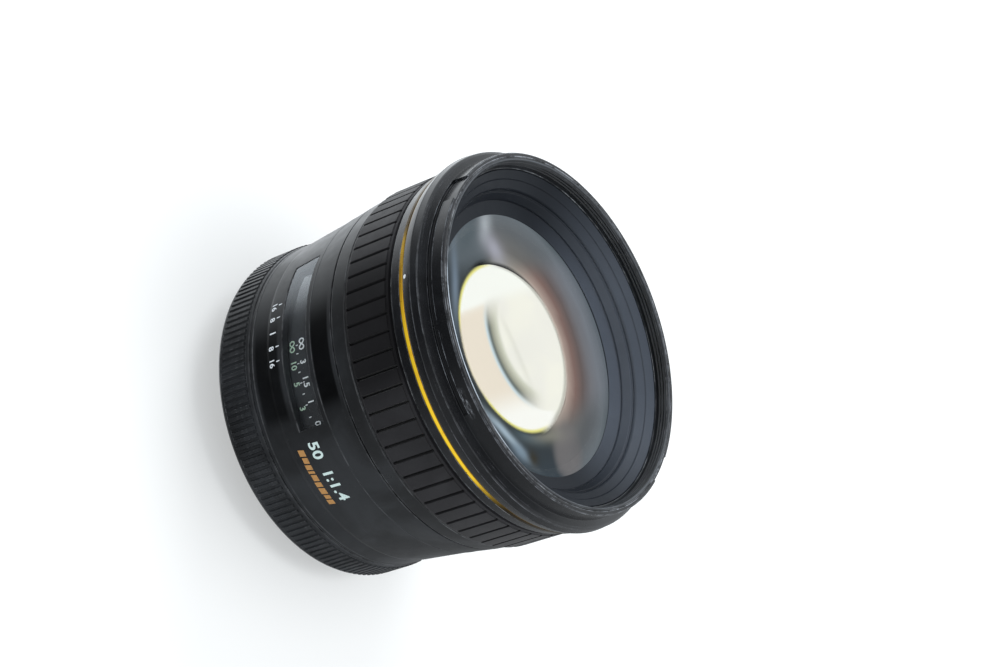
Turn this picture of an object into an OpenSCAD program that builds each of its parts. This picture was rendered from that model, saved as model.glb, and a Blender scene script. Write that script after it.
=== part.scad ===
// Fast fifty-millimetre prime lens, built as it comes apart on a bench.
// Origin: centre of the mount flange face. +Z runs along the optical axis
// towards the front rim; the distance window faces -Y; +X is the user's right.
// Rest pose: focused at infinity, diaphragm wide open, switch at its rear stop.
// Name endings: _r radius, _z axial place, _a angle about the axis, _t thickness.

/* [Mount] */
// Outer radius of the metal mount flange
flange_r = 32.5; // [32.3:0.1:32.5]
// Outer radius of the bayonet boss behind the flange
boss_r = 25.3; // [25:0.1:25.6]
// Outer radius of the three bayonet lugs
lug_r = 26.9; // [26.6:0.1:27]
// Length of the bayonet boss behind the flange face
boss_len = 5.2; // [5.1:0.1:5.6]
// Radius of the circle that the four mount screws sit on
mount_screw_r = 29.3; // [29:0.1:29.8]
// Number of spring contacts in the contact block
contacts = 8; // [6:1:10]

/* [Barrel] */
// Largest radius of the barrel, at the front band
band_r = 42.25; // [42:0.05:42.5]
// Axial position of the front rim
front_z = 68.2; // [68.2:0.1:68.6]
// Number of ribs around the rear band
rear_ribs = 150; // [90:5:180]
// Depth of the grooves between the rear ribs
rear_rib_depth = 0.28; // [0.15:0.01:0.3]
// Angular width of the distance window
window_span = 60; // [40:1:60]
// Number of rubber blocks around the focus grip
grip_ribs = 68; // [48:1:80]
// Depth of the grooves in the focus grip
grip_depth = 0.75; // [0.4:0.05:0.9]
// Number of notches in the hood bayonet
hood_notches = 2; // [2:1:4]
// Angular width of one hood notch
hood_notch_w = 12; // [8:1:16]
// Wall radius of the filter thread
thread_r = 38.1; // [38:0.02:38.2]

/* [Focus] */
// Forward travel of the optical block from infinity to the closest distance
focus_travel = 6.8; // [4:0.1:6.8]
// Turn of the cam ring over the whole focus travel
cam_turn = 48; // [36:1:48]
// Radius of the three cam followers
follower_r = 1.5; // [1.3:0.05:1.5]
// Number of teeth on the vibrating stator
stator_teeth = 48; // [30:1:60]
// Radius of the rollers between the rotor and the manual ring
roller_r = 1.58; // [1.5:0.02:1.58]

/* [Diaphragm] */
// Clear radius of the open diaphragm
open_r = 14.6; // [14.4:0.1:14.8]
// Outer radius of the blade arcs
blade_r = 21.4; // [21:0.1:21.4]
// Angle that one blade arc covers
blade_span = 110; // [100:1:115]
// Thickness of one blade
blade_t = 0.10; // [0.06:0.01:0.1]
// Teeth of the pinion on the diaphragm motor
pinion_teeth = 10; // [10:1:10]

/* [Hidden] */
$fn = 120;

// places shared by several sections
window_mid = -90;
follower_angles = [30, 150, 270];
follower_z = 29;
key_a = 150;
key_z = 45;
key_pin_r = 1.4;
key_hole_r = key_pin_r + 0.02;
stack_z = -2.2;                   // set-back of the element stack in its carrier
cell_r = 27.95;                   // fits inside the carrier tube

// screws: circles, angles and sizes
mount_screw_angles = [45, 135, 225, 315];
post_angles = [30, 150, 270];     // guide tube screws and their posts
post_circle_r = 33;
front_screw_angles = [20, 110, 200, 290];
front_screw_circle_r = 36.5;
tapped_r = 0.7;                   // hole that takes a small screw's thread

// ---- helpers ---------------------------------------------------------------
// Every profile is a list of [radius, z] points, turned about the optical axis.

function rect(r_in, r_out, z_lo, z_hi) =
  [[r_in, z_lo], [r_out, z_lo], [r_out, z_hi], [r_in, z_hi]];
function polar(r, angle) = [r * cos(angle), r * sin(angle)];

module ring(profile) { rotate_extrude() polygon(profile); }
module tube(r_in, r_out, z_lo, z_hi) { ring(rect(r_in, r_out, z_lo, z_hi)); }
module arc(start, end, profile) {
  rotate([0, 0, start]) rotate_extrude(angle = end - start) polygon(profile);
}
// arc that reaches the angle `half` to each side of `mid`
module arc_about(mid, half, profile) { arc(mid - half, mid + half, profile); }
// cylinder of radius r whose axis points away from the optical axis
module radial(angle, z, from_r, to_r, r) {
  rotate([0, 0, angle]) translate([from_r, 0, z]) rotate([0, 90, 0])
    cylinder(r = r, h = to_r - from_r);
}
module at(r, angle, z) { rotate([0, 0, angle]) translate([r, 0, z]) children(); }
module at_each(r, angles, z) { for (angle = angles) at(r, angle, z) children(); }
// the elements, their cells and the diaphragm are drawn about their own plane
module stack() { translate([0, 0, stack_z]) children(); }

// ring whose outside carries straight ribs; crest and flank are shares of a pitch
module ribbed(count, bore_r, root_r, crest_r, z_lo, z_hi, crest, flank) {
  pitch = 360 / count;
  corners = [[root_r, 0], [crest_r, flank], [crest_r, flank + crest],
    [root_r, 2 * flank + crest]];
  translate([0, 0, z_lo]) linear_extrude(z_hi - z_lo) difference() {
    polygon([for (i = [0 : count - 1]) for (corner = corners)
      polar(corner[0], (i + corner[1]) * pitch)]);
    circle(r = bore_r);
  }
}

// cross recess cut into a screw head, from z upwards
module cross_recess(length, width, z, height) {
  for (angle = [0, 90]) rotate([0, 0, angle])
    translate([-length / 2, -width / 2, z]) cube([length, width, height]);
}
// countersunk screw pointing towards +Z, head face at 0
module mount_screw() {
  difference() {
    union() {
      cylinder(r1 = 1.85, r2 = 0.93, h = 0.92);
      cylinder(r = 0.93, h = 4.7);
    }
    cross_recess(2.2, 0.36, -0.1, 0.6);
  }
}
// cheese-head screw pointing towards -Z, head top at 0
module small_screw() {
  difference() {
    union() {
      translate([0, 0, -0.7]) cylinder(r = 1.1, h = 0.7);
      translate([0, 0, -4.7]) cylinder(r = 0.66, h = 4.2);
    }
    cross_recess(1.4, 0.26, -0.35, 0.5);
  }
}
// clearance for a small screw, with the floor of its head recess at floor_z
module small_screw_hole(floor_z) {
  cylinder(r = 0.76, h = 4);
  translate([0, 0, floor_z]) cylinder(r = 1.18, h = 3);
}

// ---- mount -----------------------------------------------------------------

mount_bore_r = 23;
flange_t = 2.4;
lug_starts = [-122, -2, 118];
lug_span = 58;
locking_hole_a = -15;
liner_r = 22.93;                  // baffle and contact block, inside the bore
contact_mid = 90;
contact_pitch = 6.2;              // degrees
contact_circle_r = 21.2;
board_z = 5.15;
board_top = 5.95;

module at_contacts(z) {
  for (i = [0 : contacts - 1])
    at(contact_circle_r, contact_mid + (i - (contacts - 1) / 2) * contact_pitch, z)
      children();
}

module mount_flange() {
  lug = [[boss_r - 0.5, -4.6], [lug_r - 0.25, -4.6], [lug_r, -4.35],
    [lug_r, -3.1], [boss_r - 0.5, -3.1]];
  color([0.80, 0.80, 0.79]) difference() {
    union() {
      ring([[mount_bore_r, 0], [flange_r - 0.2, 0], [flange_r, 0.2],
        [flange_r, flange_t], [mount_bore_r, flange_t]]);
      ring([[mount_bore_r, -boss_len + 0.2], [mount_bore_r + 0.2, -boss_len],
        [boss_r - 0.3, -boss_len], [boss_r, -boss_len + 0.3], [boss_r, 0.5],
        [mount_bore_r, 0.5]]);
      for (start = lug_starts) arc(start, start + lug_span, lug);
    }
    at_each(mount_screw_r, mount_screw_angles, 0) {
      translate([0, 0, -0.1]) cylinder(r = 1.0, h = 3);
      translate([0, 0, -0.01]) cylinder(r1 = 1.97, r2 = 1.0, h = 0.97);
    }
    // hole that takes the body's locking pin
    at(mount_screw_r, locking_hole_a, -1) cylinder(r = 1.25, h = 2.8);
    // relief across the end of each lug
    for (start = lug_starts)
      arc(start + lug_span - 1, start + lug_span + 3,
        rect(boss_r - 0.25, boss_r + 2, -4.7, -0.02));
  }
}

module mount_screws() {
  color([0.75, 0.75, 0.76])
    at_each(mount_screw_r, mount_screw_angles, 0.05) mount_screw();
}

module rear_baffle() {
  outer_wall = [[19.2, -4.8], [22.6, -4.8], [liner_r, -4.5], [liner_r, 1.4],
    [22.2, 1.4], [22.2, -3.9], [19.2, -3.9]];
  color([0.05, 0.05, 0.055]) union() {
    tube(18.9, 19.5, -4.8, 1.4);
    arc(126, 414, outer_wall);
  }
}

module contact_block() {
  color([0.06, 0.06, 0.065]) difference() {
    arc_about(contact_mid, 32, [[19.6, -4.6], [19.9, -4.9], [22.6, -4.9],
      [liner_r, -4.6], [liner_r, 1.45], [19.6, 1.45]]);
    at_contacts(-6) cylinder(r = 0.78, h = 4.5);
  }
}

module contact_pins() {
  pin_r = 0.75;
  tip_len = 0.2;
  color([0.83, 0.66, 0.30]) at_contacts(-5.05) union() {
    cylinder(r1 = 0.55, r2 = pin_r, h = tip_len);
    translate([0, 0, tip_len]) cylinder(r = pin_r, h = 3.2);
  }
}

// strip from the contact block forward to the board
module contact_flex() {
  color([0.72, 0.42, 0.12])
    arc_about(contact_mid, 6, [[19.9, 1.5], [22.5, 1.5], [22.5, 6.0], [26.4, 6.0],
      [26.4, 6.15], [22.35, 6.15], [22.35, 1.65], [19.9, 1.65]]);
}

// block on the front face of the board
module chip(r, angle, size) {
  at(r, angle, board_top - 0.05) translate([-size.x / 2, -size.y / 2, 0]) cube(size);
}

module main_board() {
  // radius, angle, radial and tangential size of each integrated circuit
  circuits = [[26.8, 180, 4.6, 4.6], [26.8, 230, 3.6, 5.4],
    [26.9, 290, 4.2, 4.2], [26.8, 340, 3, 3], [26.7, 20, 3, 4.4]];
  small_chip = [1.0, 0.6, 0.5];
  color([0.05, 0.28, 0.16]) union() {
    difference() {
      arc(124, 416, rect(28.6, 35.3, board_z, board_top));
      at_each(post_circle_r, post_angles, 5) cylinder(r = 1.9, h = 2);
    }
    arc(78, 430, rect(24, 29, board_z, board_top));
    for (c = circuits) chip(c[0], c[1], [c[2], c[3], 1.0]);
    for (i = [0 : 7]) chip(27.4, 195 + i * 3.4, small_chip);
    for (i = [0 : 5]) chip(27.6, 305 + i * 4, small_chip);
  }
}

// ---- outer shell -----------------------------------------------------------

rear_wall_r = 36.75;              // inside of the rear ribbed band
rear_crest_r = 37.93;
barrel_r = 35.6;                  // bore of the main barrel
window_z = 22.2;
window_top = 29.8;
switch_mid = 180;
grip_seat_r = 39.2;
grip_r = 40.9;
grip_z = 42.8;                    // ribbed part of the grip
grip_top = 53.6;
hood_groove_mid = -90;
hood_notch_start = -130.6;

module rear_barrel() {
  color([0.10, 0.10, 0.11]) difference() {
    union() {
      ring([[26.2, 2.44], [36.75, 2.44], [37.3, 2.75], [37.65, 3.4],
        [37.65, 3.9], [36.8, 3.9], [36.8, 5.05], [26.2, 5.05]]);
      ribbed(rear_ribs, rear_wall_r, rear_crest_r - rear_rib_depth, rear_crest_r,
        3.9, 10.9, crest = 0.46, flank = 0.10);
      ring([[rear_wall_r, 10.9], [37.7, 10.9], [37.62, 11.7], [37.45, 11.9],
        [rear_wall_r, 11.9]]);
      at_each(post_circle_r, post_angles, 5) cylinder(r = 1.7, h = 1.28);
    }
    at_each(mount_screw_r, mount_screw_angles, 2) cylinder(r = 0.96, h = 2.85);
    at_each(post_circle_r, post_angles, 3.5) cylinder(r = tapped_r, h = 4);
  }
}

module main_barrel() {
  wall = [[barrel_r, 5.1], [36.7, 5.1], [36.7, 12.0], [37.35, 12.0],
    [37.5, 12.15], [37.5, 17.2], [37.75, 18], [39.0, 30], [40.05, 37.6],
    [39.95, 37.72], [37.4, 37.72], [37.4, 55.0], [barrel_r, 55.0],
    [barrel_r, 36.4], [36.6, 36.4], [36.6, 20.4], [barrel_r, 20.4]];
  key_slot_half = key_pin_r + 0.15;
  color([0.11, 0.11, 0.12]) difference() {
    ring(wall);
    arc_about(window_mid, window_span / 2, rect(34, 42, window_z, window_top));
    // seat of the switch plate and the slot behind it
    arc_about(switch_mid, 12.2, rect(36.92, 42, 13.4, 30.6));
    arc_about(switch_mid, 6.2, rect(34, 38, 15.4, 28.6));
    // slot that lets the focus key travel
    arc(50, 154, rect(34, 39, key_z - key_slot_half, key_z + key_slot_half));
    at_each(front_screw_circle_r, front_screw_angles, 51)
      cylinder(r = tapped_r, h = 5);
  }
}

module window_pane() {
  z_lo = window_z + 0.05;
  z_hi = window_top - 0.05;
  color([0.75, 0.80, 0.85, 0.4])
    arc_about(window_mid, window_span / 2 - 0.15,
      [[36.7, z_lo], [38.06, z_lo], [38.88, z_hi], [36.7, z_hi]]);
}

module switch_plate() {
  color([0.09, 0.09, 0.10]) difference() {
    arc_about(switch_mid, 12, [[36.96, 13.5], [38.2, 13.5], [38.9, 14.6],
      [38.9, 29.6], [38.8, 30.5], [36.96, 30.5]]);
    arc_about(switch_mid, 3.4, rect(35, 41, 17.0, 27.0));
    // shallow well that the thumb piece runs in
    arc_about(switch_mid, 6, rect(38.45, 41, 16.4, 27.6));
  }
}

module af_mf_switch() {
  color([0.14, 0.14, 0.15]) union() {
    // inner foot and the stem through the plate
    arc_about(switch_mid, 4.4, rect(36.42, 36.86, 17.7, 22.0));
    arc_about(switch_mid, 2.6, rect(36.7, 38.8, 18.3, 21.6));
    // thumb piece with three ridges
    arc_about(switch_mid, 5.2, rect(38.5, 39.2, 17.4, 22.6));
    for (z = [17.7, 19.5, 21.3]) arc_about(switch_mid, 4.8,
      [[39.1, z], [39.9, z + 0.25], [39.9, z + 0.75], [39.1, z + 1.0]]);
  }
}

module focus_ring() {
  color([0.11, 0.11, 0.12]) difference() {
    ring([[37.45, 37.88], [39.85, 37.88], [40.1, 38.1], [40.35, 41.6],
      [40.15, 41.85], [39.15, 41.95], [39.15, 54.45], [40.2, 54.5],
      [40.45, 54.7], [40.35, 54.88], [37.45, 54.88]]);
    radial(key_a, key_z, 36, 40, key_hole_r);
    radial(key_a, key_z, 38.35, 42, 2.0);
  }
}

module focus_grip() {
  color([0.04, 0.04, 0.045]) union() {
    ring([[grip_seat_r, 42.0], [40.3, 42.0], [40.62, 42.3], [40.66, grip_z],
      [grip_seat_r, grip_z]]);
    ribbed(grip_ribs, grip_seat_r, grip_r - grip_depth, grip_r, grip_z, grip_top,
      crest = 0.68, flank = 0.06);
    ring([[grip_seat_r, grip_top], [40.66, grip_top], [40.62, 54.1], [40.3, 54.4],
      [grip_seat_r, 54.4]]);
  }
}

module focus_key() {
  color([0.78, 0.78, 0.79]) union() {
    radial(key_a, key_z, 34.05, 38.5, key_pin_r);
    radial(key_a, key_z, 38.4, 39.1, 1.9);
  }
}

module front_barrel() {
  wall = [[35.2, 55.02], [40.6, 55.02], [40.85, 55.2], [41.2, 57.5],
    [40.9, 57.6], [40.9, 58.84], [41.55, 58.9], [41.95, 60.0],
    [band_r - 0.03, 61.0], [band_r, 61.15], [band_r - 0.06, 61.35],
    [42.05, 62.9], [41.9, 63.1], [41.45, 63.4], [40.15, 63.95],
    [40.15, 67.95], [39.95, 68.15], [39.7, 68.18], [39.15, 68.18],
    [39.15, 56.8], [35.2, 56.8]];
  color([0.08, 0.08, 0.085]) difference() {
    ring(wall);
    // hood bayonet: grooves behind the front lip, each open at one end
    for (i = [0 : hood_notches - 1]) let (turn = i * 360 / hood_notches) {
      arc_about(hood_groove_mid + turn, 41, rect(39.6, 43, 64.05, 65.25));
      arc(hood_notch_start + turn, hood_notch_start + hood_notch_w + turn,
        rect(39.7, 43, 65, 69));
    }
    at_each(front_screw_circle_r, front_screw_angles, 54) small_screw_hole(2.0);
  }
}

module gold_ring() {
  color([0.86, 0.66, 0.22])
    ring([[40.94, 57.64], [41.32, 57.64], [41.5, 57.85], [41.52, 58.6],
      [41.4, 58.8], [40.94, 58.8]]);
}

// ---- focus drive -----------------------------------------------------------

guide_bore_r = 29.6;
guide_z = 6.32;
cam_bore_r = 31.05;
cam_mid_r = 31.8;
cam_runs = 8;                     // straight runs that make up one helical slot
cam_arc = 2 * PI * cam_mid_r * cam_turn / 360;
cam_pitch = atan2(focus_travel, cam_arc);      // slope of the helical slots
cam_slot_len = sqrt(pow(cam_arc, 2) + pow(focus_travel, 2));
cam_slot_r = follower_r + 0.12;
retainer_r = 30.63;
retainer_z = 43.09;
retainer_top = 44.09;
retainer_gap = 0.03;
roller_angles = [10, 130, 250];
roller_z = 20.22;
roller_axle_r = 0.5;
roller_reach = roller_r + 0.02;   // roller axis to the face of either ring
manual_r = 35.25;

module guide_tube() {
  slot_half = follower_r + 0.04;
  color([0.62, 0.63, 0.65]) difference() {
    union() {
      tube(guide_bore_r, 31.0, guide_z, 50);
      tube(guide_bore_r, 34.8, guide_z, 8.4);
    }
    // straight slots that keep the followers from turning
    for (angle = follower_angles) rotate([0, 0, angle])
      translate([28, -slot_half, follower_z - follower_r - 0.3])
        cube([5, 2 * slot_half, focus_travel + 2 * follower_r + 0.6]);
    at_each(post_circle_r, post_angles, 6) small_screw_hole(1.66);
    // groove of the cam retainer
    tube(retainer_r - retainer_gap, 32, retainer_z - retainer_gap,
      retainer_top + retainer_gap);
  }
}

module inner_screws() {
  color([0.70, 0.70, 0.72]) {
    at_each(post_circle_r, post_angles, 8.38) small_screw();
    at_each(front_screw_circle_r, front_screw_angles, 56.74) small_screw();
  }
}

module cam_ring() {
  color([0.80, 0.68, 0.42]) difference() {
    union() {
      tube(cam_bore_r, 31.95, 18.7, 24.4);
      tube(cam_bore_r, 32.6, 24.35, 43.0);
      for (angle = roller_angles) radial(angle, roller_z, 31.4, 35.15, roller_axle_r);
    }
    // one helical slot per follower, with round ends
    for (angle = follower_angles) {
      for (end = [0, 1])
        radial(angle + cam_turn * end, follower_z + focus_travel * end,
          30, 34, cam_slot_r);
      for (i = [0 : cam_runs - 1]) let (share = (i + 0.5) / cam_runs)
        rotate([0, 0, angle + cam_turn * share])
          translate([cam_mid_r, 0, follower_z + focus_travel * share])
            rotate([cam_pitch, 0, 0])
              cube([4, cam_slot_len / cam_runs + 0.3, 2 * cam_slot_r], center = true);
    }
  }
}

// split ring in front of the cam ring
module cam_retainer() {
  color([0.65, 0.65, 0.66])
    arc(95, 435, rect(retainer_r, 32.3, retainer_z, retainer_top));
}

module distance_scale() {
  color([0.09, 0.09, 0.10]) union() {
    tube(35.75, 36.3, 21.0, 31.4);
    arc_about(window_mid, 40, rect(32.65, 36.0, 30.6, 31.4));
  }
}

module roller(angle) {
  color([0.80, 0.80, 0.82]) difference() {
    radial(angle, roller_z, 32.15, 34.85, roller_r);
    radial(angle, roller_z, 31, 36, roller_axle_r + 0.05);
  }
}
module roller_1() { roller(roller_angles[0]); }
module roller_2() { roller(roller_angles[1]); }
module roller_3() { roller(roller_angles[2]); }

module manual_ring() {
  color([0.72, 0.72, 0.74]) difference() {
    union() {
      tube(32.1, manual_r, roller_z + roller_reach, 24.1);
      // arm that reaches forward to the focus key
      arc_about(key_a, 4, rect(34.0, manual_r, 24.0, 47.4));
    }
    radial(key_a, key_z, 33, 37, key_hole_r);
  }
}

module motor_rotor() {
  top = roller_z - roller_reach;
  color([0.66, 0.67, 0.69])
    ring([[32.05, 15.9], [33.0, 15.9], [33.0, 15.22], [34.6, 15.22],
      [34.6, 16.2], [35.2, 16.2], [35.2, top], [32.05, top]]);
}

module motor_stator() {
  tooth_share = 0.78;
  color([0.74, 0.62, 0.36]) union() {
    tube(31.95, 35.25, 10.75, 12.6);
    // teeth that amplify the travelling wave
    for (i = [0 : stator_teeth - 1])
      arc(i * 360 / stator_teeth, (i + tooth_share) * 360 / stator_teeth,
        rect(32.9, 35.2, 12.5, 15.2));
    // piezo ceramic bonded behind the ring
    tube(32.4, 34.9, 10.25, 10.8);
  }
}

module felt_ring() {
  color([0.45, 0.43, 0.40]) tube(32.0, 35.1, 9.4, 10.2);
}

module wave_spring() {
  steps = 72;
  waves = 4;
  amplitude = 0.28;
  rear_z = 8.46;
  section = rect(32.2, 34.9, 0, 0.3);
  function lift(i) = amplitude + amplitude * sin(i * 360 * waves / steps);
  points = [for (i = [0 : steps - 1]) for (corner = section)
    concat(polar(corner[0], i * 360 / steps), [rear_z + lift(i) + corner[1]])];
  // two triangles for each side of the section, from one step to the next
  color([0.6, 0.6, 0.62]) polyhedron(points = points, faces = [
    for (i = [0 : steps - 1]) let (here = 4 * i, next = 4 * ((i + 1) % steps))
      for (k = [0 : 3]) let (m = (k + 1) % 4)
        each [[here + k, next + m, here + m], [here + k, next + k, next + m]]]);
}

// ---- moving optical block --------------------------------------------------

glass_color = [0.75, 0.85, 0.90, 0.35];
// radius, rear limit, front limit, front vertex z, front curvature radius,
// rear vertex z, rear curvature radius; front element first
lenses = [
  [30, 56.9, 66.5, 65.8,   80, 58.4,  -350],
  [24, 46.5, 58,   57.6,   38, 48.8,  -140],
  [24, 38.2, 49,   48.77, 140, 46.6,  -24.5],
  [15, 22.0, 32.4, 26.5,  -22, 24.93, -45],
  [15, 16.5, 25.2, 24.9,   45, 17.0,   30],
  [16, 12,   17,   16.5,  160, 12.6,   60],
  [16, 8.4,  14.0, 12.2,  -70, 9.9,   -100],
  [16, 3,    10,   9.3,    55, 3.6,    300]];

// glass element; positive curvatures bulge outwards, negative ones are hollow
module element(r, z_lo, z_hi, vertex_f, curve_f, vertex_r, curve_r) {
  module front_ball() {
    translate([0, 0, vertex_f - curve_f]) sphere(r = abs(curve_f), $fn = 360);
  }
  module rear_ball() {
    translate([0, 0, vertex_r + curve_r]) sphere(r = abs(curve_r), $fn = 720);
  }
  difference() {
    intersection() {
      translate([0, 0, z_lo]) cylinder(r = r, h = z_hi - z_lo);
      if (curve_f > 0) front_ball();
      if (curve_r > 0) rear_ball();
    }
    if (curve_f < 0) front_ball();
    if (curve_r < 0) rear_ball();
  }
}
module lens(number) {
  row = lenses[number - 1];
  color(glass_color) stack()
    element(row[0], row[1], row[2], row[3], row[4], row[5], row[6]);
}
module lens_1() { lens(1); }
module lens_2() { lens(2); }
module lens_3() { lens(3); }
module lens_4() { lens(4); }
module lens_5() { lens(5); }
module lens_6() { lens(6); }
module lens_7() { lens(7); }
module lens_8() { lens(8); }

module carrier_tube() {
  color([0.10, 0.10, 0.11]) difference() {
    tube(28.0, 29.55, 10.0, 55.2 + stack_z);
    for (angle = follower_angles) radial(angle, follower_z, 26, 31, follower_r + 0.02);
  }
}

module cam_followers() {
  color([0.82, 0.70, 0.36])
    for (angle = follower_angles) radial(angle, follower_z, 28.05, 32.5, follower_r);
}

module front_cell() {
  color([0.08, 0.08, 0.085]) stack()
    ring([[19.0, 37.25], [cell_r, 37.25], [cell_r, 55.25], [32.1, 55.25],
      [32.1, 59.5], [37.45, 59.5], [37.45, 61.0], [32.6, 61.0], [32.6, 60.3],
      [30.05, 60.3], [30.05, 57.05], [27.6, 57.05], [24.05, 50.5],
      [24.05, 38.1], [19.0, 38.1]]);
}

module front_tube() {
  color([0.07, 0.07, 0.075])
    ring([[37.5, 57.35], [39.1, 57.35], [39.1, front_z - 0.1],
      [39.0, front_z], [38.5, front_z], [thread_r, front_z - 0.4],
      [thread_r, 65.3], [37.5, 65.3]]);
}

module front_baffle() {
  color([0.06, 0.06, 0.065])
    ring([[29.3, 58.25], [32.55, 58.25], [32.55, 58.85], [37.45, 58.85],
      [37.45, 65.1], [37.2, 65.15], [35.6, 64.05], [35.5, 63.75],
      [33.9, 62.65], [33.7, 62.2], [33.7, 61.8], [33.3, 61.6], [32.6, 60.4],
      [32.3, 59.9], [32.3, 59.4], [31.3, 59.1], [29.9, 58.65], [29.3, 58.5]]);
}

module rear_cell() {
  color([0.07, 0.07, 0.075]) stack()
    ring([[16.05, 2.6], [18.2, 2.6], [18.5, 2.9], [18.5, 21.0], [cell_r, 22.0],
      [cell_r, 24.0], [18.5, 24.0], [18.5, 33.3], [15.05, 33.3], [15.05, 20.5],
      [14.2, 20.5], [14.2, 19.4], [15.05, 19.4], [15.05, 15.86],
      [16.05, 15.86]]);
}

module rear_spacers() {
  color([0.05, 0.05, 0.05]) stack() {
    tube(15.2, 16.0, 14.08, 14.53);
    tube(15.2, 16.0, 7.18, 8.59);
  }
}

module rear_retaining_ring() {
  color([0.06, 0.06, 0.065]) stack() difference() {
    ring([[14.2, 3.6], [14.9, 2.75], [16.0, 2.75], [16.0, 3.9], [14.2, 3.9]]);
    // spanner slots
    for (angle = [0, 180]) rotate([0, 0, angle])
      translate([14.9, -0.6, 2]) cube([2, 1.2, 1.2]);
  }
}

// ---- diaphragm -------------------------------------------------------------

blade_angles = [for (k = [0 : 8]) 40 * k];
pivot_r = 22.2;                   // circle of the blade pivots
lever = 3.8;                      // pivot to drive pin of one blade
blade_close = 34.86;              // turn of one blade, open to closed
pin_mid_r = pivot_r + lever * cos(blade_close / 2);
pin_offset = lever * sin(blade_close / 2);
pin_half = atan2(pin_offset, pin_mid_r);
// circle of the drive pin holes, a mean of the pins' reach over the turn
pin_circle_r = (sqrt(pow(pin_mid_r, 2) + pow(pin_offset, 2)) + pivot_r + lever) / 2;
pin_r = 0.4;                      // pivot and drive pins
blade_z = 34.26;                  // rearmost blade
blade_pitch = 0.14;
plate_bore_r = open_r + 0.1;      // base and cover

gear_m = 0.3;                     // gear module
ring_teeth = 174;
tooth_tip = 0.9 * gear_m;         // tooth height either side of the pitch circle
tooth_root = 1.2 * gear_m;
gear_r = gear_m * ring_teeth / 2;
pinion_r = gear_m * pinion_teeth / 2;
pinion_circle_r = gear_r - pinion_r;
pinion_a = 20;
gear_z = 35.56;
gear_t = 0.8;

module aperture_base() {
  color([0.09, 0.09, 0.10]) stack() difference() {
    union() {
      tube(plate_bore_r, cell_r, 33.4, 34.2);
      tube(27.25, cell_r, 34.1, 36.4);
    }
    at_each(pivot_r, blade_angles, 33) cylinder(r = pin_r + 0.05, h = 2);
    at(pinion_circle_r, pinion_a, 33) cylinder(r = 0.9, h = 2);
  }
}

module blade(number) {
  z = blade_z + (number - 1) * blade_pitch;
  color([0.16, 0.16, 0.17]) stack() rotate([0, 0, blade_angles[number - 1]]) union() {
    arc(-3, blade_span, rect(open_r, blade_r, z, z + blade_t));
    // pivot eye and its neck
    translate([pivot_r, 0, z]) cylinder(r = 0.95, h = blade_t);
    translate([pivot_r - 1.7, -0.9, z]) cube([1.7, 1.8, blade_t]);
    // lever, its rounded end and the drive pin
    translate([pivot_r, 0, 0]) rotate([0, 0, -blade_close / 2]) {
      translate([0, -0.55, z]) cube([lever, 1.1, blade_t]);
      translate([lever, 0, z]) cylinder(r = 0.65, h = blade_t);
      translate([lever, 0, z]) cylinder(r = pin_r, h = 36.25 - z);
    }
    translate([pivot_r, 0, 33.5]) cylinder(r = pin_r, h = z + blade_t - 33.5);
  }
}
module aperture_blade_1() { blade(1); }
module aperture_blade_2() { blade(2); }
module aperture_blade_3() { blade(3); }
module aperture_blade_4() { blade(4); }
module aperture_blade_5() { blade(5); }
module aperture_blade_6() { blade(6); }
module aperture_blade_7() { blade(7); }
module aperture_blade_8() { blade(8); }
module aperture_blade_9() { blade(9); }

module aperture_ring() {
  pitch = 360 / ring_teeth;
  root = gear_r + tooth_root;
  tip = gear_r - tooth_tip;
  color([0.30, 0.30, 0.31]) stack() union() {
    difference() {
      tube(open_r + 0.4, 27.2, gear_z, gear_z + gear_t);
      for (angle = blade_angles)
        at(pin_circle_r, angle - pin_half, 35) cylinder(r = 0.53, h = 2);
      // window that the pinion works in
      arc(pinion_a - 10, pinion_a + 4.9, rect(22.5, root, 35, 37));
    }
    // inward teeth on the outer edge of that window
    for (k = [-4 : 1]) rotate([0, 0, pinion_a + (k + 0.5) * pitch])
      translate([0, 0, gear_z]) linear_extrude(gear_t)
        polygon([[root + 0.1, -0.27], [root + 0.1, 0.27], [tip, 0.11],
          [tip, -0.11]]);
  }
}

module aperture_cover() {
  color([0.09, 0.09, 0.10]) stack() tube(plate_bore_r, cell_r, 36.45, 37.15);
}

module aperture_pinion() {
  root = pinion_r - tooth_root;
  tip = pinion_r + tooth_tip;
  pitch = 360 / pinion_teeth;
  // radius and angle of the corners of one tooth
  tooth = [[root, -11], [tip, -3.4], [tip, 3.4], [root, 11]];
  color([0.85, 0.83, 0.76]) stack() at(pinion_circle_r, pinion_a, 0) union() {
    translate([0, 0, 35.6]) linear_extrude(0.7)
      polygon([for (i = [0 : pinion_teeth - 1]) for (corner = tooth)
        polar(corner[0], i * pitch + corner[1])]);
    translate([0, 0, 32.0]) cylinder(r = 0.5, h = 3.7);
  }
}

module aperture_motor() {
  color([0.55, 0.56, 0.58]) stack() at(pinion_circle_r, pinion_a, 0) difference() {
    union() {
      translate([0, 0, 24.3]) cylinder(r = 3.15, h = 8.4);
      translate([0, 0, 32.6]) cylinder(r = 1.4, h = 0.72);
    }
    translate([0, 0, 31.9]) cylinder(r = 0.55, h = 3);
  }
}

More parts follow.
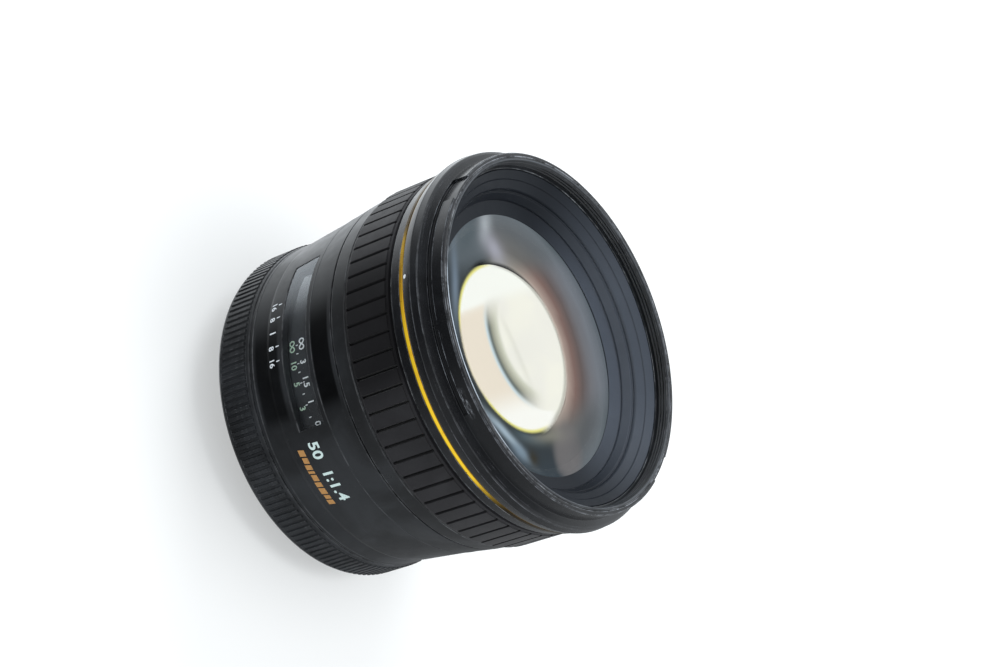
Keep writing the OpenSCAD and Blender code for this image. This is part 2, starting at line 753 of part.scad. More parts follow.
mount_flange();
mount_screws();
rear_baffle();
contact_block();
contact_pins();
contact_flex();
main_board();
rear_barrel();
main_barrel();
window_pane();
switch_plate();
af_mf_switch();
guide_tube();
inner_screws();
wave_spring();
felt_ring();
motor_stator();
motor_rotor();
roller_1();
roller_2();
roller_3();
manual_ring();
focus_key();
focus_ring();
focus_grip();
cam_ring();
cam_retainer();
distance_scale();
cam_followers();
carrier_tube();
front_cell();
front_tube();
front_baffle();
lens_1();
lens_2();
lens_3();
aperture_base();
aperture_ring();
aperture_cover();
aperture_blade_1();
aperture_blade_2();
aperture_blade_3();
aperture_blade_4();
aperture_blade_5();
aperture_blade_6();
aperture_blade_7();
aperture_blade_8();
aperture_blade_9();
aperture_motor();
aperture_pinion();
lens_4();
lens_5();
lens_6();
lens_7();
lens_8();
rear_cell();
rear_spacers();
rear_retaining_ring();
front_barrel();
gold_ring();
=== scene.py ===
# A 50 mm f/1.4 autofocus camera lens that stands on its mount.
# The optical axis is +Z: the mount flange is at the bottom, the front rim at z = 68.2 mm.
# Profiles are (radius, z) in millimetres; angles are degrees from +X towards +Y.
# The distance window faces -Y and the switch faces -X. Meshes are written in metres.
import math

import bpy
import numpy as np
from mathutils import Matrix, Vector
from mathutils.geometry import tessellate_polygon


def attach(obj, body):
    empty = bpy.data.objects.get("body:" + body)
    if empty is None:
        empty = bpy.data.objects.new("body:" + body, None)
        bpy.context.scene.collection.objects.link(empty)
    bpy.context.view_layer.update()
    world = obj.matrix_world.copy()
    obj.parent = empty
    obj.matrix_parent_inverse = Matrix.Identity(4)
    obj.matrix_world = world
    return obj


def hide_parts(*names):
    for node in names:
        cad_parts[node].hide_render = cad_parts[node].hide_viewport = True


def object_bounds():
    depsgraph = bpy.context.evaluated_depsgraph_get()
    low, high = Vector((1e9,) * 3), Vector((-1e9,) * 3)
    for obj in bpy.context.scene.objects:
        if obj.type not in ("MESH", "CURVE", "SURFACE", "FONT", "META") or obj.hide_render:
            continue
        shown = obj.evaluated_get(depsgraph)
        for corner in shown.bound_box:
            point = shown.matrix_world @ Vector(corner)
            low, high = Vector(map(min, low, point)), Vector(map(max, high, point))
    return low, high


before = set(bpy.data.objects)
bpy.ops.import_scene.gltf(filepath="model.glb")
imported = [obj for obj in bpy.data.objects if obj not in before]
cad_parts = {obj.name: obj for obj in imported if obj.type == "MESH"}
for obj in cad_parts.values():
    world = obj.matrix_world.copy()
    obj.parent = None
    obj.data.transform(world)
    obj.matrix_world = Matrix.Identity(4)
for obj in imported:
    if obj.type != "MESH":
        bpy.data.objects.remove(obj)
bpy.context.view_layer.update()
scene = bpy.context.scene

MM = 0.001
SEGMENTS = 512          # steps in a full turn
VIEW = (0.3948, -0.7292, 0.5589)          # direction towards the camera


# =====================================================================
# mesh helpers
# =====================================================================
def around(radius, turn, z):
    """Point at an angle in radians round the axis."""
    return radius * math.cos(turn), radius * math.sin(turn), z


def signed_area(points):
    return 0.5 * sum(r0 * z1 - r1 * z0
                     for (r0, z0), (r1, z1) in zip(points, points[1:] + points[:1]))


def rounded(profile, radius=0.12):
    """Fillet a closed (r, z) profile and return (r, z, edge) points.
    edge rises to 1 on the fillets of outer corners and is 0 elsewhere."""
    if signed_area(profile) < 0:
        profile = profile[::-1]
    points = []
    for i, corner in enumerate(profile):
        corner = np.array(corner)
        before = corner - np.array(profile[i - 1])
        after = np.array(profile[(i + 1) % len(profile)]) - corner
        length_before, length_after = np.linalg.norm(before), np.linalg.norm(after)
        before, after = before / length_before, after / length_after
        turn = math.atan2(before[0] * after[1] - before[1] * after[0], float(before @ after))
        if abs(turn) < math.radians(7):
            points.append((*corner, 0.0))
            continue
        half_tan = math.tan(abs(turn) / 2)
        cut = min(radius * half_tan, 0.42 * length_before, 0.42 * length_after)
        start, end = corner - before * cut, corner + after * cut
        outer = turn > 0
        normal = np.array([-before[1], before[0]]) * (1 if outer else -1)
        centre = start + normal * (cut / half_tan)
        steps = max(2, int(math.ceil(abs(turn) / math.radians(24))))
        edge = min(1.0, abs(turn) / math.radians(50)) if outer else 0.0
        # support points keep the shading flat beside the fillet
        support = min(0.16, 0.45 * (length_before - cut))
        if support > 0.02:
            points.append((*(start - before * support), 0.0))
        arm = start - centre
        for k in range(steps + 1):
            c, s = math.cos(turn * k / steps), math.sin(turn * k / steps)
            spoke = np.array([arm[0] * c - arm[1] * s, arm[0] * s + arm[1] * c])
            points.append((*(centre + spoke), edge))
        support = min(0.16, 0.45 * (length_after - cut))
        if support > 0.02:
            points.append((*(end + after * support), 0.0))
    return points


def mesh_object(name, verts, faces, materials, slots=None, edge=None, smooth_angle=38):
    mesh = bpy.data.meshes.new(name)
    mesh.from_pydata([(x * MM, y * MM, z * MM) for x, y, z in verts], [], faces)
    for material in materials:
        mesh.materials.append(material)
    if slots is not None:
        mesh.polygons.foreach_set("material_index", np.array(slots, np.int32))
    mesh.polygons.foreach_set("use_smooth", np.ones(len(mesh.polygons), bool))
    if edge is not None:
        attribute = mesh.attributes.new("edge", "FLOAT", "POINT")
        attribute.data.foreach_set("value", np.array(edge, np.float32))
    mesh.set_sharp_from_angle(angle=math.radians(smooth_angle))
    mesh.validate()
    mesh.update()
    obj = bpy.data.objects.new(name, mesh)
    scene.collection.objects.link(obj)
    return obj


def stacked_ring_faces(rows, size):
    """Quads between closed rings of equal size, one ring after another."""
    return [(a * size + i, a * size + (i + 1) % size,
             (a + 1) * size + (i + 1) % size, (a + 1) * size + i)
            for a in range(rows - 1) for i in range(size)]


def disc_faces(size, rings):
    """A fan round vertex 0 and quads between the rings that follow it."""
    faces = []
    for k in range(size):
        j = (k + 1) % size
        faces.append((0, 1 + k, 1 + j))
        for ring in range(rings - 1):
            base = 1 + ring * size
            faces.append((base + k, base + size + k, base + size + j, base + j))
    return faces


class Piece:
    """Turned sectors and loose meshes gathered into one object."""

    def __init__(self):
        self.verts, self.faces, self.edge, self.slots = [], [], [], []

    def sweep(self, profile, start, end, slot, segments, closed):
        full = abs(end - start) >= 359.999
        steps = max(2, int(round(segments * abs(end - start) / 360)))
        columns = steps if full else steps + 1
        size, base = len(profile), len(self.verts)
        for k in range(columns):
            turn = math.radians(start + (end - start) * k / steps)
            for radius, z, edge in profile:
                self.verts.append(around(radius, turn, z))
                self.edge.append(edge)
        for k in range(steps):
            here, there = base + k * size, base + (k + 1) % columns * size
            for i in range(size if closed else size - 1):
                j = (i + 1) % size
                self.faces.append((here + i, there + i, there + j, here + j))
                self.slots.append(slot)
        return None if full else base + steps * size

    def lathe(self, profile, start=0.0, end=360.0):
        """Turn a closed profile; a partial turn gets flat caps."""
        first = len(self.verts)
        last = self.sweep(profile, start, end, 0, SEGMENTS, True)
        if last is not None:
            for tri in tessellate_polygon([[Vector((p[0], p[1], 0)) for p in profile]]):
                a, b, c = tri
                if signed_area([profile[i][:2] for i in tri]) < 0:
                    b, c = c, b
                self.faces.append((first + a, first + b, first + c))
                self.faces.append((last + a, last + c, last + b))
                self.slots += [0, 0]
        return self

    def strip(self, profile, slot=0, segments=SEGMENTS):
        """Turn an open profile all the way round."""
        self.sweep(profile, 0.0, 360.0, slot, segments, False)

    def add(self, verts, faces, edge=None):
        base = len(self.verts)
        self.verts += verts
        self.edge += [0.0] * len(verts) if edge is None else edge
        self.faces += [tuple(base + i for i in face) for face in faces]
        self.slots += [0] * len(faces)
        return self

    def finish(self, name, body, *materials, replaces=None, slot=None, angle=38):
        obj = mesh_object(name, self.verts, self.faces, materials, self.slots, self.edge, angle)
        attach(obj, body)
        if replaces:
            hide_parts(replaces)


# =====================================================================
# shader helpers
# =====================================================================
class Shader:
    """Node tree of a material or world. Inputs may be values, sockets or nodes."""

    def __init__(self, owner, output="ShaderNodeOutputMaterial"):
        owner.use_nodes = True
        self.owner = owner
        self.tree = owner.node_tree
        self.tree.nodes.clear()
        self.output = self.tree.nodes.new(output)

    def put(self, socket, value):
        if isinstance(value, bpy.types.Node):
            value = value.outputs[0]
        if isinstance(value, bpy.types.NodeSocket):
            self.tree.links.new(value, socket)
            return
        if isinstance(value, tuple) and len(value) == 3 and len(socket.default_value) == 4:
            value = (*value, 1.0)
        socket.default_value = value

    def node(self, kind, *inputs, props=None, **named):
        """Unnamed inputs fill the first sockets; underscores in names stand for spaces."""
        node = self.tree.nodes.new(kind)
        for key, value in (props or {}).items():
            setattr(node, key, value)
        for i, value in enumerate(inputs):
            self.put(node.inputs[i], value)
        for key, value in named.items():
            self.put(node.inputs[key.replace("_", " ")], value)
        return node

    def math(self, operation, first, second=0.0, clamp=False):
        props = {"operation": operation, "use_clamp": clamp}
        return self.node("ShaderNodeMath", first, second, 0.0, props=props).outputs[0]

    def add(self, first, second):
        return self.math("ADD", first, second)

    def sub(self, first, second):
        return self.math("SUBTRACT", first, second)

    def mul(self, first, *others):
        for other in others:
            first = self.math("MULTIPLY", first, other)
        return first

    def invert(self, value):
        return self.sub(1.0, value)

    def absolute(self, value):
        return self.math("ABSOLUTE", value)

    def square_sum(self, x, y):
        return self.add(self.mul(x, x), self.mul(y, y))

    def hypot(self, x, y):
        return self.math("SQRT", self.square_sum(x, y))

    def vary(self, base, noise, amount):
        """base plus the noise, centred on 0.5, times amount."""
        return self.add(base, self.mul(self.sub(noise, 0.5), amount))

    def lerp(self, factor, first, second):
        return self.add(self.mul(self.invert(factor), first), self.mul(factor, second))

    def fade(self, value, start, end, kind="SMOOTHSTEP"):
        """0 at start, 1 at end."""
        props = {"interpolation_type": kind}
        return self.node("ShaderNodeMapRange", value, start, end, 0.0, 1.0, props=props).outputs[0]

    def band(self, value, rise, fall):
        """1 between the two fades, 0 outside them."""
        return self.mul(self.fade(value, *rise), self.fade(value, *fall))

    def mix(self, factor, first, second, amount=None):
        """Colour mix; amount scales the factor."""
        if amount is not None:
            factor = self.mul(factor, amount)
        node = self.node("ShaderNodeMix", factor, props={"data_type": "RGBA"})
        self.put(node.inputs[6], first)
        self.put(node.inputs[7], second)
        return node.outputs[2]

    def blend(self, factor, first, second):
        return self.node("ShaderNodeMixShader", factor, first, second)

    def vector(self, operation, first, second=(0, 0, 0)):
        return self.node("ShaderNodeVectorMath", first, second, props={"operation": operation})

    def dot(self, first, second):
        return self.vector("DOT_PRODUCT", first, second).outputs["Value"]

    def point(self):
        """Object coordinates in millimetres."""
        place = self.node("ShaderNodeTexCoord").outputs["Object"]
        return self.node("ShaderNodeVectorMath", place, props={"operation": "SCALE"}, Scale=1000.0)

    def axes(self, vector):
        return self.node("ShaderNodeSeparateXYZ", vector).outputs

    def angle(self, x, y):
        return self.mul(self.math("ARCTAN2", y, x), 57.29578)

    def polar(self):
        """Radius in mm, angle in degrees and z in mm of the shading point."""
        x, y, z = self.axes(self.point())
        return self.hypot(x, y), self.angle(x, y), z

    def stretch(self, *axes):
        """Vector built from (socket, scale) pairs."""
        return self.node("ShaderNodeCombineXYZ", *[self.mul(s, scale) for s, scale in axes])

    def noise(self, vector, scale=1.0, detail=3, rough=0.6, distort=0.0):
        return self.node("ShaderNodeTexNoise", Vector=vector, Scale=scale, Detail=detail,
                         Roughness=rough, Distortion=distort).outputs[0]

    def voronoi(self, vector, scale):
        return self.node("ShaderNodeTexVoronoi", Vector=vector, Scale=scale,
                         Randomness=1.0).outputs[0]

    def attribute(self, name):
        return self.node("ShaderNodeAttribute", props={"attribute_name": name}).outputs["Fac"]

    def bump(self, height, strength, distance, normal=None):
        node = self.node("ShaderNodeBump", Strength=strength, Distance=distance, Height=height)
        if normal is not None:
            self.put(node.inputs["Normal"], normal)
        return node

    def principled(self, colour, rough, normal, metal=0.0, spec=0.5, **named):
        return self.node("ShaderNodeBsdfPrincipled", Base_Color=colour, Roughness=rough,
                         Metallic=metal, Specular_IOR_Level=spec, Normal=normal, **named)

    def finish(self, shader):
        self.put(self.output.inputs[0], shader)
        return self.owner


def new_shader(name):
    return Shader(bpy.data.materials.new(name))


def scaled(colour, factor):
    return tuple(c * factor for c in colour)


def display(red, green, blue):
    """Linear colour from an 8-bit display colour."""
    return tuple(c / 255 / 12.92 if c / 255 <= 0.04045 else ((c / 255 + 0.055) / 1.055) ** 2.4
                 for c in (red, green, blue))


# =====================================================================
# surface materials
# =====================================================================
def moulded(name, base, rough, spec, grain, grain_amount, wear, haze=0.02, scratch=0.15,
            wear_colour=(0.42, 0.43, 0.45), scuff=False, painted_dark_reflections=False, funnel=False):
    """Painted or moulded black shell: fine grain, rubbed areas, dust, worn edges. Options add
    painted dark reflections beside the window and a painted lit side.
    """
    mat = new_shader(name)
    point = mat.point()
    fine_grain = mat.noise(point, scale=1.0 / grain)
    cells = mat.voronoi(point, 0.8 / grain)
    relief = mat.add(mat.mul(fine_grain, 0.6), mat.mul(cells, 0.4))
    broad = mat.noise(point, scale=0.055, detail=4, rough=0.55, distort=0.6)
    medium = mat.noise(point, scale=0.4, distort=0.3)
    rubbed = mat.fade(broad, 0.42, 0.66)
    dust = mat.mul(mat.fade(mat.noise(point, scale=2.4, detail=2, rough=0.7), 0.66, 0.74),
                   mat.fade(medium, 0.45, 0.7))
    # fine scratches that run round the barrel
    radius, angle, z = mat.polar()
    lines = mat.stretch((angle, 0.05), (z, 6.0), (radius, 3.0))
    scratches = mat.mul(mat.fade(mat.noise(lines, rough=0.65), 0.64, 0.72),
                        mat.fade(medium, 0.5, 0.62))
    # worn edges: chips, drawn out into long lines round the barrel
    edge = mat.attribute("edge")
    chips = mat.fade(mat.noise(point, scale=0.35, detail=4, rough=0.7, distort=0.4), 0.36, 0.60)
    lines = mat.stretch((angle, 0.045), (z, 2.2), (radius, 2.2))
    rubs = mat.fade(mat.noise(lines, detail=4, rough=0.7), 0.40, 0.66)
    worn = mat.mul(mat.math("POWER", edge, 1.5), mat.mul(chips, rubs))
    worn = mat.math("MULTIPLY", worn, wear, clamp=True)
    if scuff:
        # one knocked place on the front edge, round -52 degrees
        place = mat.mul(mat.fade(mat.absolute(mat.add(angle, 52.0)), 5.5, 2.5),
                        mat.fade(mat.absolute(mat.sub(z, 65.95)), 0.95, 0.35))
        lines = mat.stretch((angle, 0.42), (z, 3.4), (radius, 3.4))
        marks = mat.noise(lines, detail=4, rough=0.7, distort=0.8)
        knock = mat.mul(mat.fade(marks, 0.46, 0.64), 0.6)
        worn = mat.math("MAXIMUM", worn, mat.mul(place, knock))
    colour = mat.mix(medium, base, scaled(base, 1.55), amount=0.55)
    colour = mat.mix(rubbed, colour, (0.55, 0.6, 0.68), amount=haze)
    colour = mat.mix(dust, colour, (0.35, 0.35, 0.34), amount=0.10)
    colour = mat.mix(scratches, colour, (0.22, 0.23, 0.25), amount=scratch)
    if painted_dark_reflections:
        # painted dark reflections: darker, duller areas below and above the window stand for dark
        # things mirrored in the barrel
        span = mat.band(angle, rise=(-103.0, -90.0), fall=(-62.0, -68.0))
        below = mat.band(z, rise=(13.2, 14.2), fall=(21.2, 20.2))
        above = mat.band(z, rise=(31.0, 31.6), fall=(36.9, 36.3))
        dark_reflection_mask = mat.mul(span, mat.math("MAXIMUM", mat.mul(below, 0.85), above))
        colour = mat.mix(dark_reflection_mask, colour, (0.0012, 0.0012, 0.0014), amount=0.85)
        spec = mat.sub(spec, mat.mul(dark_reflection_mask, spec * 0.8))
    if funnel:
        # painted light: the side round 100 degrees is paler than the side towards the viewer
        pale = mat.fade(mat.absolute(mat.sub(angle, 100.0)), 78.0, 22.0)
        colour = mat.mix(pale, scaled(base, 0.75), scaled(base, 3.4))
        colour = mat.mix(mat.mul(medium, pale), colour, base, amount=0.25)
        spec = mat.lerp(pale, spec * 0.30, spec)
    colour = mat.mix(worn, colour, wear_colour)
    rough = mat.vary(rough, medium, 0.16)
    rough = mat.sub(rough, mat.mul(rubbed, 0.07))
    rough = mat.lerp(worn, rough, 0.34)
    normal = mat.bump(relief, strength=grain_amount, distance=0.00004)
    normal = mat.bump(mat.mul(worn, -1.0), strength=0.5, distance=0.00003, normal=normal)
    return mat.finish(mat.principled(colour, rough, normal, spec=spec))


def metal(name, base, rough, turned, tarnish=(0.1, 0.09, 0.08), tarnish_amount=0.15):
    """Machined metal with concentric tool marks, uneven plating and rubbed edges."""
    mat = new_shader(name)
    point = mat.point()
    radius, angle, z = mat.polar()
    rings = mat.stretch((radius, 9.0), (z, 9.0), (angle, 0.012))
    lines = mat.noise(rings, detail=4)
    blotches = mat.noise(point, scale=0.16, detail=4, distort=0.8)
    spots = mat.fade(mat.noise(point, scale=1.7), 0.62, 0.72)
    edge = mat.attribute("edge")
    colour = mat.mix(mat.fade(lines, 0.3, 0.7), base, scaled(base, 0.6), amount=0.12)
    colour = mat.mix(mat.fade(blotches, 0.5, 0.72), colour, tarnish, amount=tarnish_amount)
    colour = mat.mix(spots, colour, tarnish, amount=tarnish_amount * 0.5)
    bright = tuple(min(1.0, c * 1.25 + 0.04) for c in base)
    colour = mat.mix(edge, colour, bright, amount=0.3)
    normal = mat.bump(lines, strength=0.22 * turned, distance=0.00003)
    normal = mat.bump(mat.noise(point, scale=3.0), strength=0.06, distance=0.00003,
                      normal=normal)
    return mat.finish(mat.principled(colour, mat.vary(rough, blotches, 0.22), normal, metal=1.0))


def speckled(name, base, rough, grain, relief, spec=0.4, variation=0.5, metallic=0.0):
    """Plain surface with fine grain, broad variation and darker specks."""
    mat = new_shader(name)
    point = mat.point()
    fine = mat.noise(point, scale=1.0 / grain, detail=4, rough=0.62)
    broad = mat.noise(point, scale=0.22, detail=4, rough=0.55, distort=0.5)
    specks = mat.fade(mat.noise(point, scale=1.9, rough=0.7), 0.60, 0.75)
    pale = tuple(min(1, c * 1.7 + 0.004) for c in base)
    colour = mat.mix(broad, base, pale, amount=variation)
    colour = mat.mix(specks, colour, scaled(base, 0.55), amount=0.18)
    normal = mat.bump(fine, strength=relief, distance=0.00005)
    return mat.finish(mat.principled(colour, mat.vary(rough, broad, 0.2), normal,
                                     metal=metallic, spec=spec))


def paint(name, base):
    """Filled marking: slightly uneven ink with rubbed specks."""
    mat = new_shader(name)
    point = mat.point()
    fine = mat.noise(point, scale=5.0)
    specks = mat.fade(mat.noise(point, scale=1.6, detail=4, rough=0.7), 0.60, 0.74)
    colour = mat.mix(fine, base, scaled(base, 0.7), amount=0.35)
    colour = mat.mix(specks, colour, scaled(base, 0.25), amount=0.55)
    normal = mat.bump(fine, strength=0.3, distance=0.00002)
    return mat.finish(mat.principled(colour, 0.55, normal, spec=0.3))


def grip_rubber():
    mat = new_shader("grip_rubber_ribbed")
    point = mat.point()
    fine = mat.noise(point, scale=7.0, rough=0.7)
    pores = mat.voronoi(point, 3.2)
    broad = mat.noise(point, scale=0.07, detail=4, rough=0.55, distort=0.6)
    medium = mat.noise(point, scale=0.55)
    lit_blocks = mat.attribute("edge")           # 0 in the grooves, 1 on the blocks; the grooves get painted shade
    dust = mat.mul(mat.fade(mat.noise(point, scale=2.0, rough=0.75), 0.60, 0.78),
                   mat.fade(medium, 0.4, 0.7))
    # painted shade: the grooves are darker than the blocks
    colour = mat.mix(lit_blocks, (0.0022, 0.0021, 0.0027), (0.0108, 0.0100, 0.0122))
    colour = mat.mix(mat.fade(broad, 0.45, 0.68), colour, (0.038, 0.038, 0.042), amount=0.22)
    colour = mat.mix(dust, colour, (0.20, 0.20, 0.19), amount=0.10)
    # painted shade: the stretch above the window is darker and duller
    x, y, _ = mat.axes(mat.point())
    dark = mat.band(mat.angle(x, y), rise=(-112.0, -96.0), fall=(-58.0, -70.0))
    colour = mat.mix(dark, colour, (0.0022, 0.0020, 0.0025), amount=0.72)
    relief = mat.add(mat.mul(fine, 0.6), mat.mul(pores, 0.4))
    return mat.finish(mat.principled(
        colour, mat.vary(0.56, medium, 0.2), mat.bump(relief, strength=0.35, distance=0.00005),
        spec=mat.sub(0.28, mat.mul(dark, 0.20)), Sheen_Weight=0.10, Sheen_Roughness=0.5))


def gold_anodised():
    mat = new_shader("gold_anodised_ring")
    point = mat.point()
    radius, angle, z = mat.polar()
    rings = mat.stretch((radius, 8.0), (z, 14.0), (angle, 0.02))
    lines = mat.noise(rings)
    dull = mat.fade(mat.noise(point, scale=0.33, detail=4, distort=0.4), 0.50, 0.66)
    nicks = mat.fade(mat.noise(point, scale=1.3, detail=4, rough=0.7), 0.64, 0.72)
    colour = mat.mix(lines, (0.95, 0.60, 0.075), (0.80, 0.42, 0.035), amount=0.3)
    colour = mat.mix(dull, colour, (0.42, 0.22, 0.04), amount=0.35)
    colour = mat.mix(nicks, colour, (0.07, 0.05, 0.03), amount=0.8)
    rough = mat.add(0.22, mat.mul(dull, 0.16))
    # Painted highlight and shade: one stretch of the ring glows bright; away from it, and on its
    # flanks, painted shade stands for dark parts of the room that it mirrors. Both effects hold
    # only near the main view direction.
    incoming = mat.node("ShaderNodeNewGeometry").outputs["Incoming"]
    near = mat.fade(mat.dot(incoming, VIEW), 0.93, 0.99)
    lit = mat.band(angle, rise=(-104.0, -74.0), fall=(-20.0, -33.0))
    shade = mat.band(angle, rise=(-112.0, -98.0), fall=(-14.0, -28.0))
    shade = mat.mul(near, mat.invert(shade))
    flank = mat.band(z, rise=(57.84, 58.04), fall=(58.74, 58.52))
    flank = mat.mul(near, mat.invert(flank))
    lit = mat.mul(lit, mat.invert(mat.mul(nicks, 0.8)))
    lit = mat.mul(lit, mat.invert(mat.mul(flank, 0.92)))
    warm = mat.mix(mat.fade(angle, -112.0, -68.0), (0.75, 0.27, 0.02), (1.0, 0.70, 0.028))
    warm = mat.mix(dull, warm, (0.80, 0.45, 0.02), amount=0.7)
    colour = mat.mix(shade, colour, (0.016, 0.013, 0.010), amount=0.96)
    colour = mat.mix(flank, colour, (0.10, 0.055, 0.010), amount=0.78)
    normal = mat.bump(lines, strength=0.15, distance=0.00003)
    return mat.finish(mat.principled(colour, rough, normal, metal=1.0, Emission_Color=warm,
                                     Emission_Strength=mat.mul(lit, 0.62)))


def rim_painted_highlight():
    """Front edge of the tube with a painted highlight: a bright bluish line that glows along one
    stretch, with faint pale specks elsewhere.
    """
    mat = new_shader("front_rim_painted_highlight")
    point = mat.point()
    radius, angle, z = mat.polar()
    lines = mat.node("ShaderNodeCombineXYZ", mat.mul(angle, 0.10), mat.mul(z, 2.0), radius)
    runs = mat.fade(mat.noise(lines, detail=4, rough=0.65), 0.30, 0.55)
    specks = mat.fade(mat.noise(point, scale=3.5, rough=0.7), 0.30, 0.5)
    # painted highlight: the stretch of the rim where the line glows
    main = mat.band(angle, rise=(-104.0, -84.0), fall=(-26.0, -44.0))
    painted_highlight = mat.mul(mat.lerp(main, 0.10, 1.0), runs, mat.lerp(main, specks, 0.9))
    colour = mat.mix(painted_highlight, (0.009, 0.010, 0.012), (0.52, 0.58, 0.66))
    normal = mat.bump(mat.noise(point, scale=6.0), strength=0.15, distance=0.00002)
    return mat.finish(mat.principled(
        colour, mat.lerp(painted_highlight, 0.34, 0.22), normal, metal=mat.mul(painted_highlight, 0.7),
        Emission_Color=(0.66, 0.78, 0.92), Emission_Strength=mat.mul(main, painted_highlight, 0.42)))


# the barrel carries painted dark reflections beside the window
BARREL = moulded("barrel_satin", (0.0090, 0.0098, 0.0112), rough=0.40, spec=0.36, grain=0.24,
                 grain_amount=0.20, wear=0.22, haze=0.022, painted_dark_reflections=True)
FRONT = moulded("front_gloss", (0.0052, 0.0056, 0.0068), rough=0.25, spec=0.50, grain=0.18,
                grain_amount=0.08, wear=0.85, haze=0.012, wear_colour=(0.34, 0.36, 0.40),
                scuff=True)
FOCUS_RING = moulded("focus_ring_satin", (0.0090, 0.0095, 0.0105), rough=0.36, spec=0.38,
                     grain=0.22, grain_amount=0.22, wear=0.45)
PLATE = moulded("switch_plate_satin", (0.0080, 0.0082, 0.0090), rough=0.34, spec=0.40,
                grain=0.20, grain_amount=0.20, wear=0.4)
SLIDER = moulded("switch_slider_black", (0.018, 0.018, 0.020), rough=0.38, spec=0.45,
                 grain=0.15, grain_amount=0.2, wear=0.6)
DRUM = moulded("scale_drum_black", (0.020, 0.021, 0.024), rough=0.48, spec=0.3, grain=0.18,
               grain_amount=0.25, wear=0.1)
TUBE = moulded("front_tube_black", (0.0085, 0.0095, 0.0110), rough=0.36, spec=0.42, grain=0.2,
               grain_amount=0.10, wear=0.75, wear_colour=(0.45, 0.47, 0.50))
INNER = moulded("inner_matt_black", (0.0100, 0.0112, 0.0130), rough=0.50, spec=0.30,
                grain=0.16, grain_amount=0.35, wear=0.10, haze=0.01, scratch=0.05)
# funnel=True gives the baffle painted light on one side
BAFFLE = moulded("baffle_anti_glare", (0.0155, 0.0185, 0.0240), rough=0.42, spec=0.45,
                 grain=0.30, grain_amount=0.06, wear=0.02, haze=0.03, scratch=0.05,
                 wear_colour=(0.2, 0.22, 0.25), funnel=True)
CELL = moulded("cell_edge_black", (0.014, 0.016, 0.019), rough=0.50, spec=0.30, grain=0.2,
               grain_amount=0.05, wear=0.03, scratch=0.03)
MOUNT = metal("mount_plated", (0.62, 0.62, 0.61), rough=0.24, turned=1.2)
STEEL = metal("screw_nickel", (0.55, 0.55, 0.57), rough=0.26, turned=0.7)
SPRING = metal("spring_steel", (0.42, 0.42, 0.44), rough=0.30, turned=0.6, tarnish_amount=0.25)
ALUMINIUM = metal("machined_aluminium", (0.56, 0.57, 0.59), rough=0.33, turned=1.5)
BRASS = metal("machined_brass", (0.60, 0.42, 0.16), rough=0.30, turned=1.2,
              tarnish=(0.16, 0.09, 0.03), tarnish_amount=0.35)
CONTACT = metal("contact_gold_plate", (0.78, 0.55, 0.18), rough=0.20, turned=0.5,
                tarnish_amount=0.10)
BLADE = speckled("blade_dry_film", (0.022, 0.022, 0.025), rough=0.42, spec=0.5, grain=0.10,
                 relief=0.20, metallic=0.25)
FELT = speckled("felt_pressed", (0.16, 0.145, 0.13), rough=0.95, spec=0.1, grain=0.12,
                relief=0.9, variation=0.8)
BOARD = speckled("board_solder_mask", (0.006, 0.075, 0.032), rough=0.32, spec=0.5, grain=0.35,
                 relief=0.08, variation=0.6)
FLEX = speckled("flex_polyimide", (0.34, 0.12, 0.012), rough=0.25, spec=0.5, grain=0.5,
                relief=0.06, variation=0.4)
RESIN = speckled("pinion_acetal", (0.62, 0.59, 0.50), rough=0.42, grain=0.3, relief=0.06,
                 variation=0.3)
GLASS_EDGE = speckled("glass_edge_black", (0.016, 0.015, 0.018), rough=0.5, grain=0.2,
                      relief=0.2)
WHITE = paint("marking_white", (0.72, 0.76, 0.80))
PALE = paint("marking_pale", (0.62, 0.76, 0.74))
GREENISH = paint("marking_feet", (0.46, 0.62, 0.50))
GOLD_INK = paint("marking_gold", (0.46, 0.235, 0.075))
RUBBER = grip_rubber()
GOLD = gold_anodised()
RIM_PAINTED_HIGHLIGHT = rim_painted_highlight()


# =====================================================================
# glass materials
#
# The painted reflections on the front glass and the painted light behind the diaphragm
# share a flat chart, across and down, that faces the main view. Each surface maps its own
# x, y in mm to the chart by a quadratic: constant, x, y, x*x, x*y, y*y.
# =====================================================================
FRONT_TO_CHART = ((546.88, 0.25323, 2.87079, -0.02373, 0.00187, -0.02793),
                  (337.73, 4.29291, 1.29746, 0.01171, -0.00497, 0.00674))
REAR_TO_CHART = ((485.999, -0.15937, 5.13756, 0.03308, 0.00925, 0.02809),
                 (359.400, 6.38464, 1.52253, -0.01335, -0.00108, -0.00871))
PUPIL_CENTRE = (513.5, 347.0)             # exit pupil on the chart
PUPIL_AXIS = (0.34, 0.94)                 # direction of its long axis
PUPIL_LONG, PUPIL_SHORT = 88.9, 47.0      # half lengths of its axes

# colours of the painted reflections on the front glass
# (distance from the pupil centre, 1 on its rim; display colour)
ROSE_STOPS = [(0.95, (206, 196, 186)), (1.03, (174, 156, 147)), (1.16, (131, 109, 103)),
              (1.30, (106, 96, 95)), (1.45, (118, 119, 124)), (1.60, (121, 127, 135)),
              (1.72, (110, 117, 125)), (1.90, (72, 84, 91)), (2.1, (62, 71, 79))]
GREY_STOPS = [(0.95, (160, 160, 152)), (1.05, (140, 138, 132)), (1.18, (112, 112, 110)),
              (1.45, (103, 108, 112)), (1.65, (108, 116, 122)), (1.78, (82, 92, 97)),
              (1.95, (54, 65, 70))]
DARK_STOPS = [(0.95, (110, 116, 100)), (1.05, (58, 64, 66)), (1.25, (60, 67, 72)),
              (1.6, (62, 72, 80)), (2.0, (56, 66, 74))]
# painted light and shade of the glow behind the diaphragm
# (distance from the crescent's circle centre, 1 on the circle; display colour)
DISC_STOPS = [(0.70, (240, 238, 230)), (0.80, (205, 205, 190)), (0.90, (160, 160, 146)),
              (0.955, (104, 110, 108)), (0.985, (150, 162, 166)), (1.02, (205, 220, 230)),
              (1.06, (232, 228, 220))]
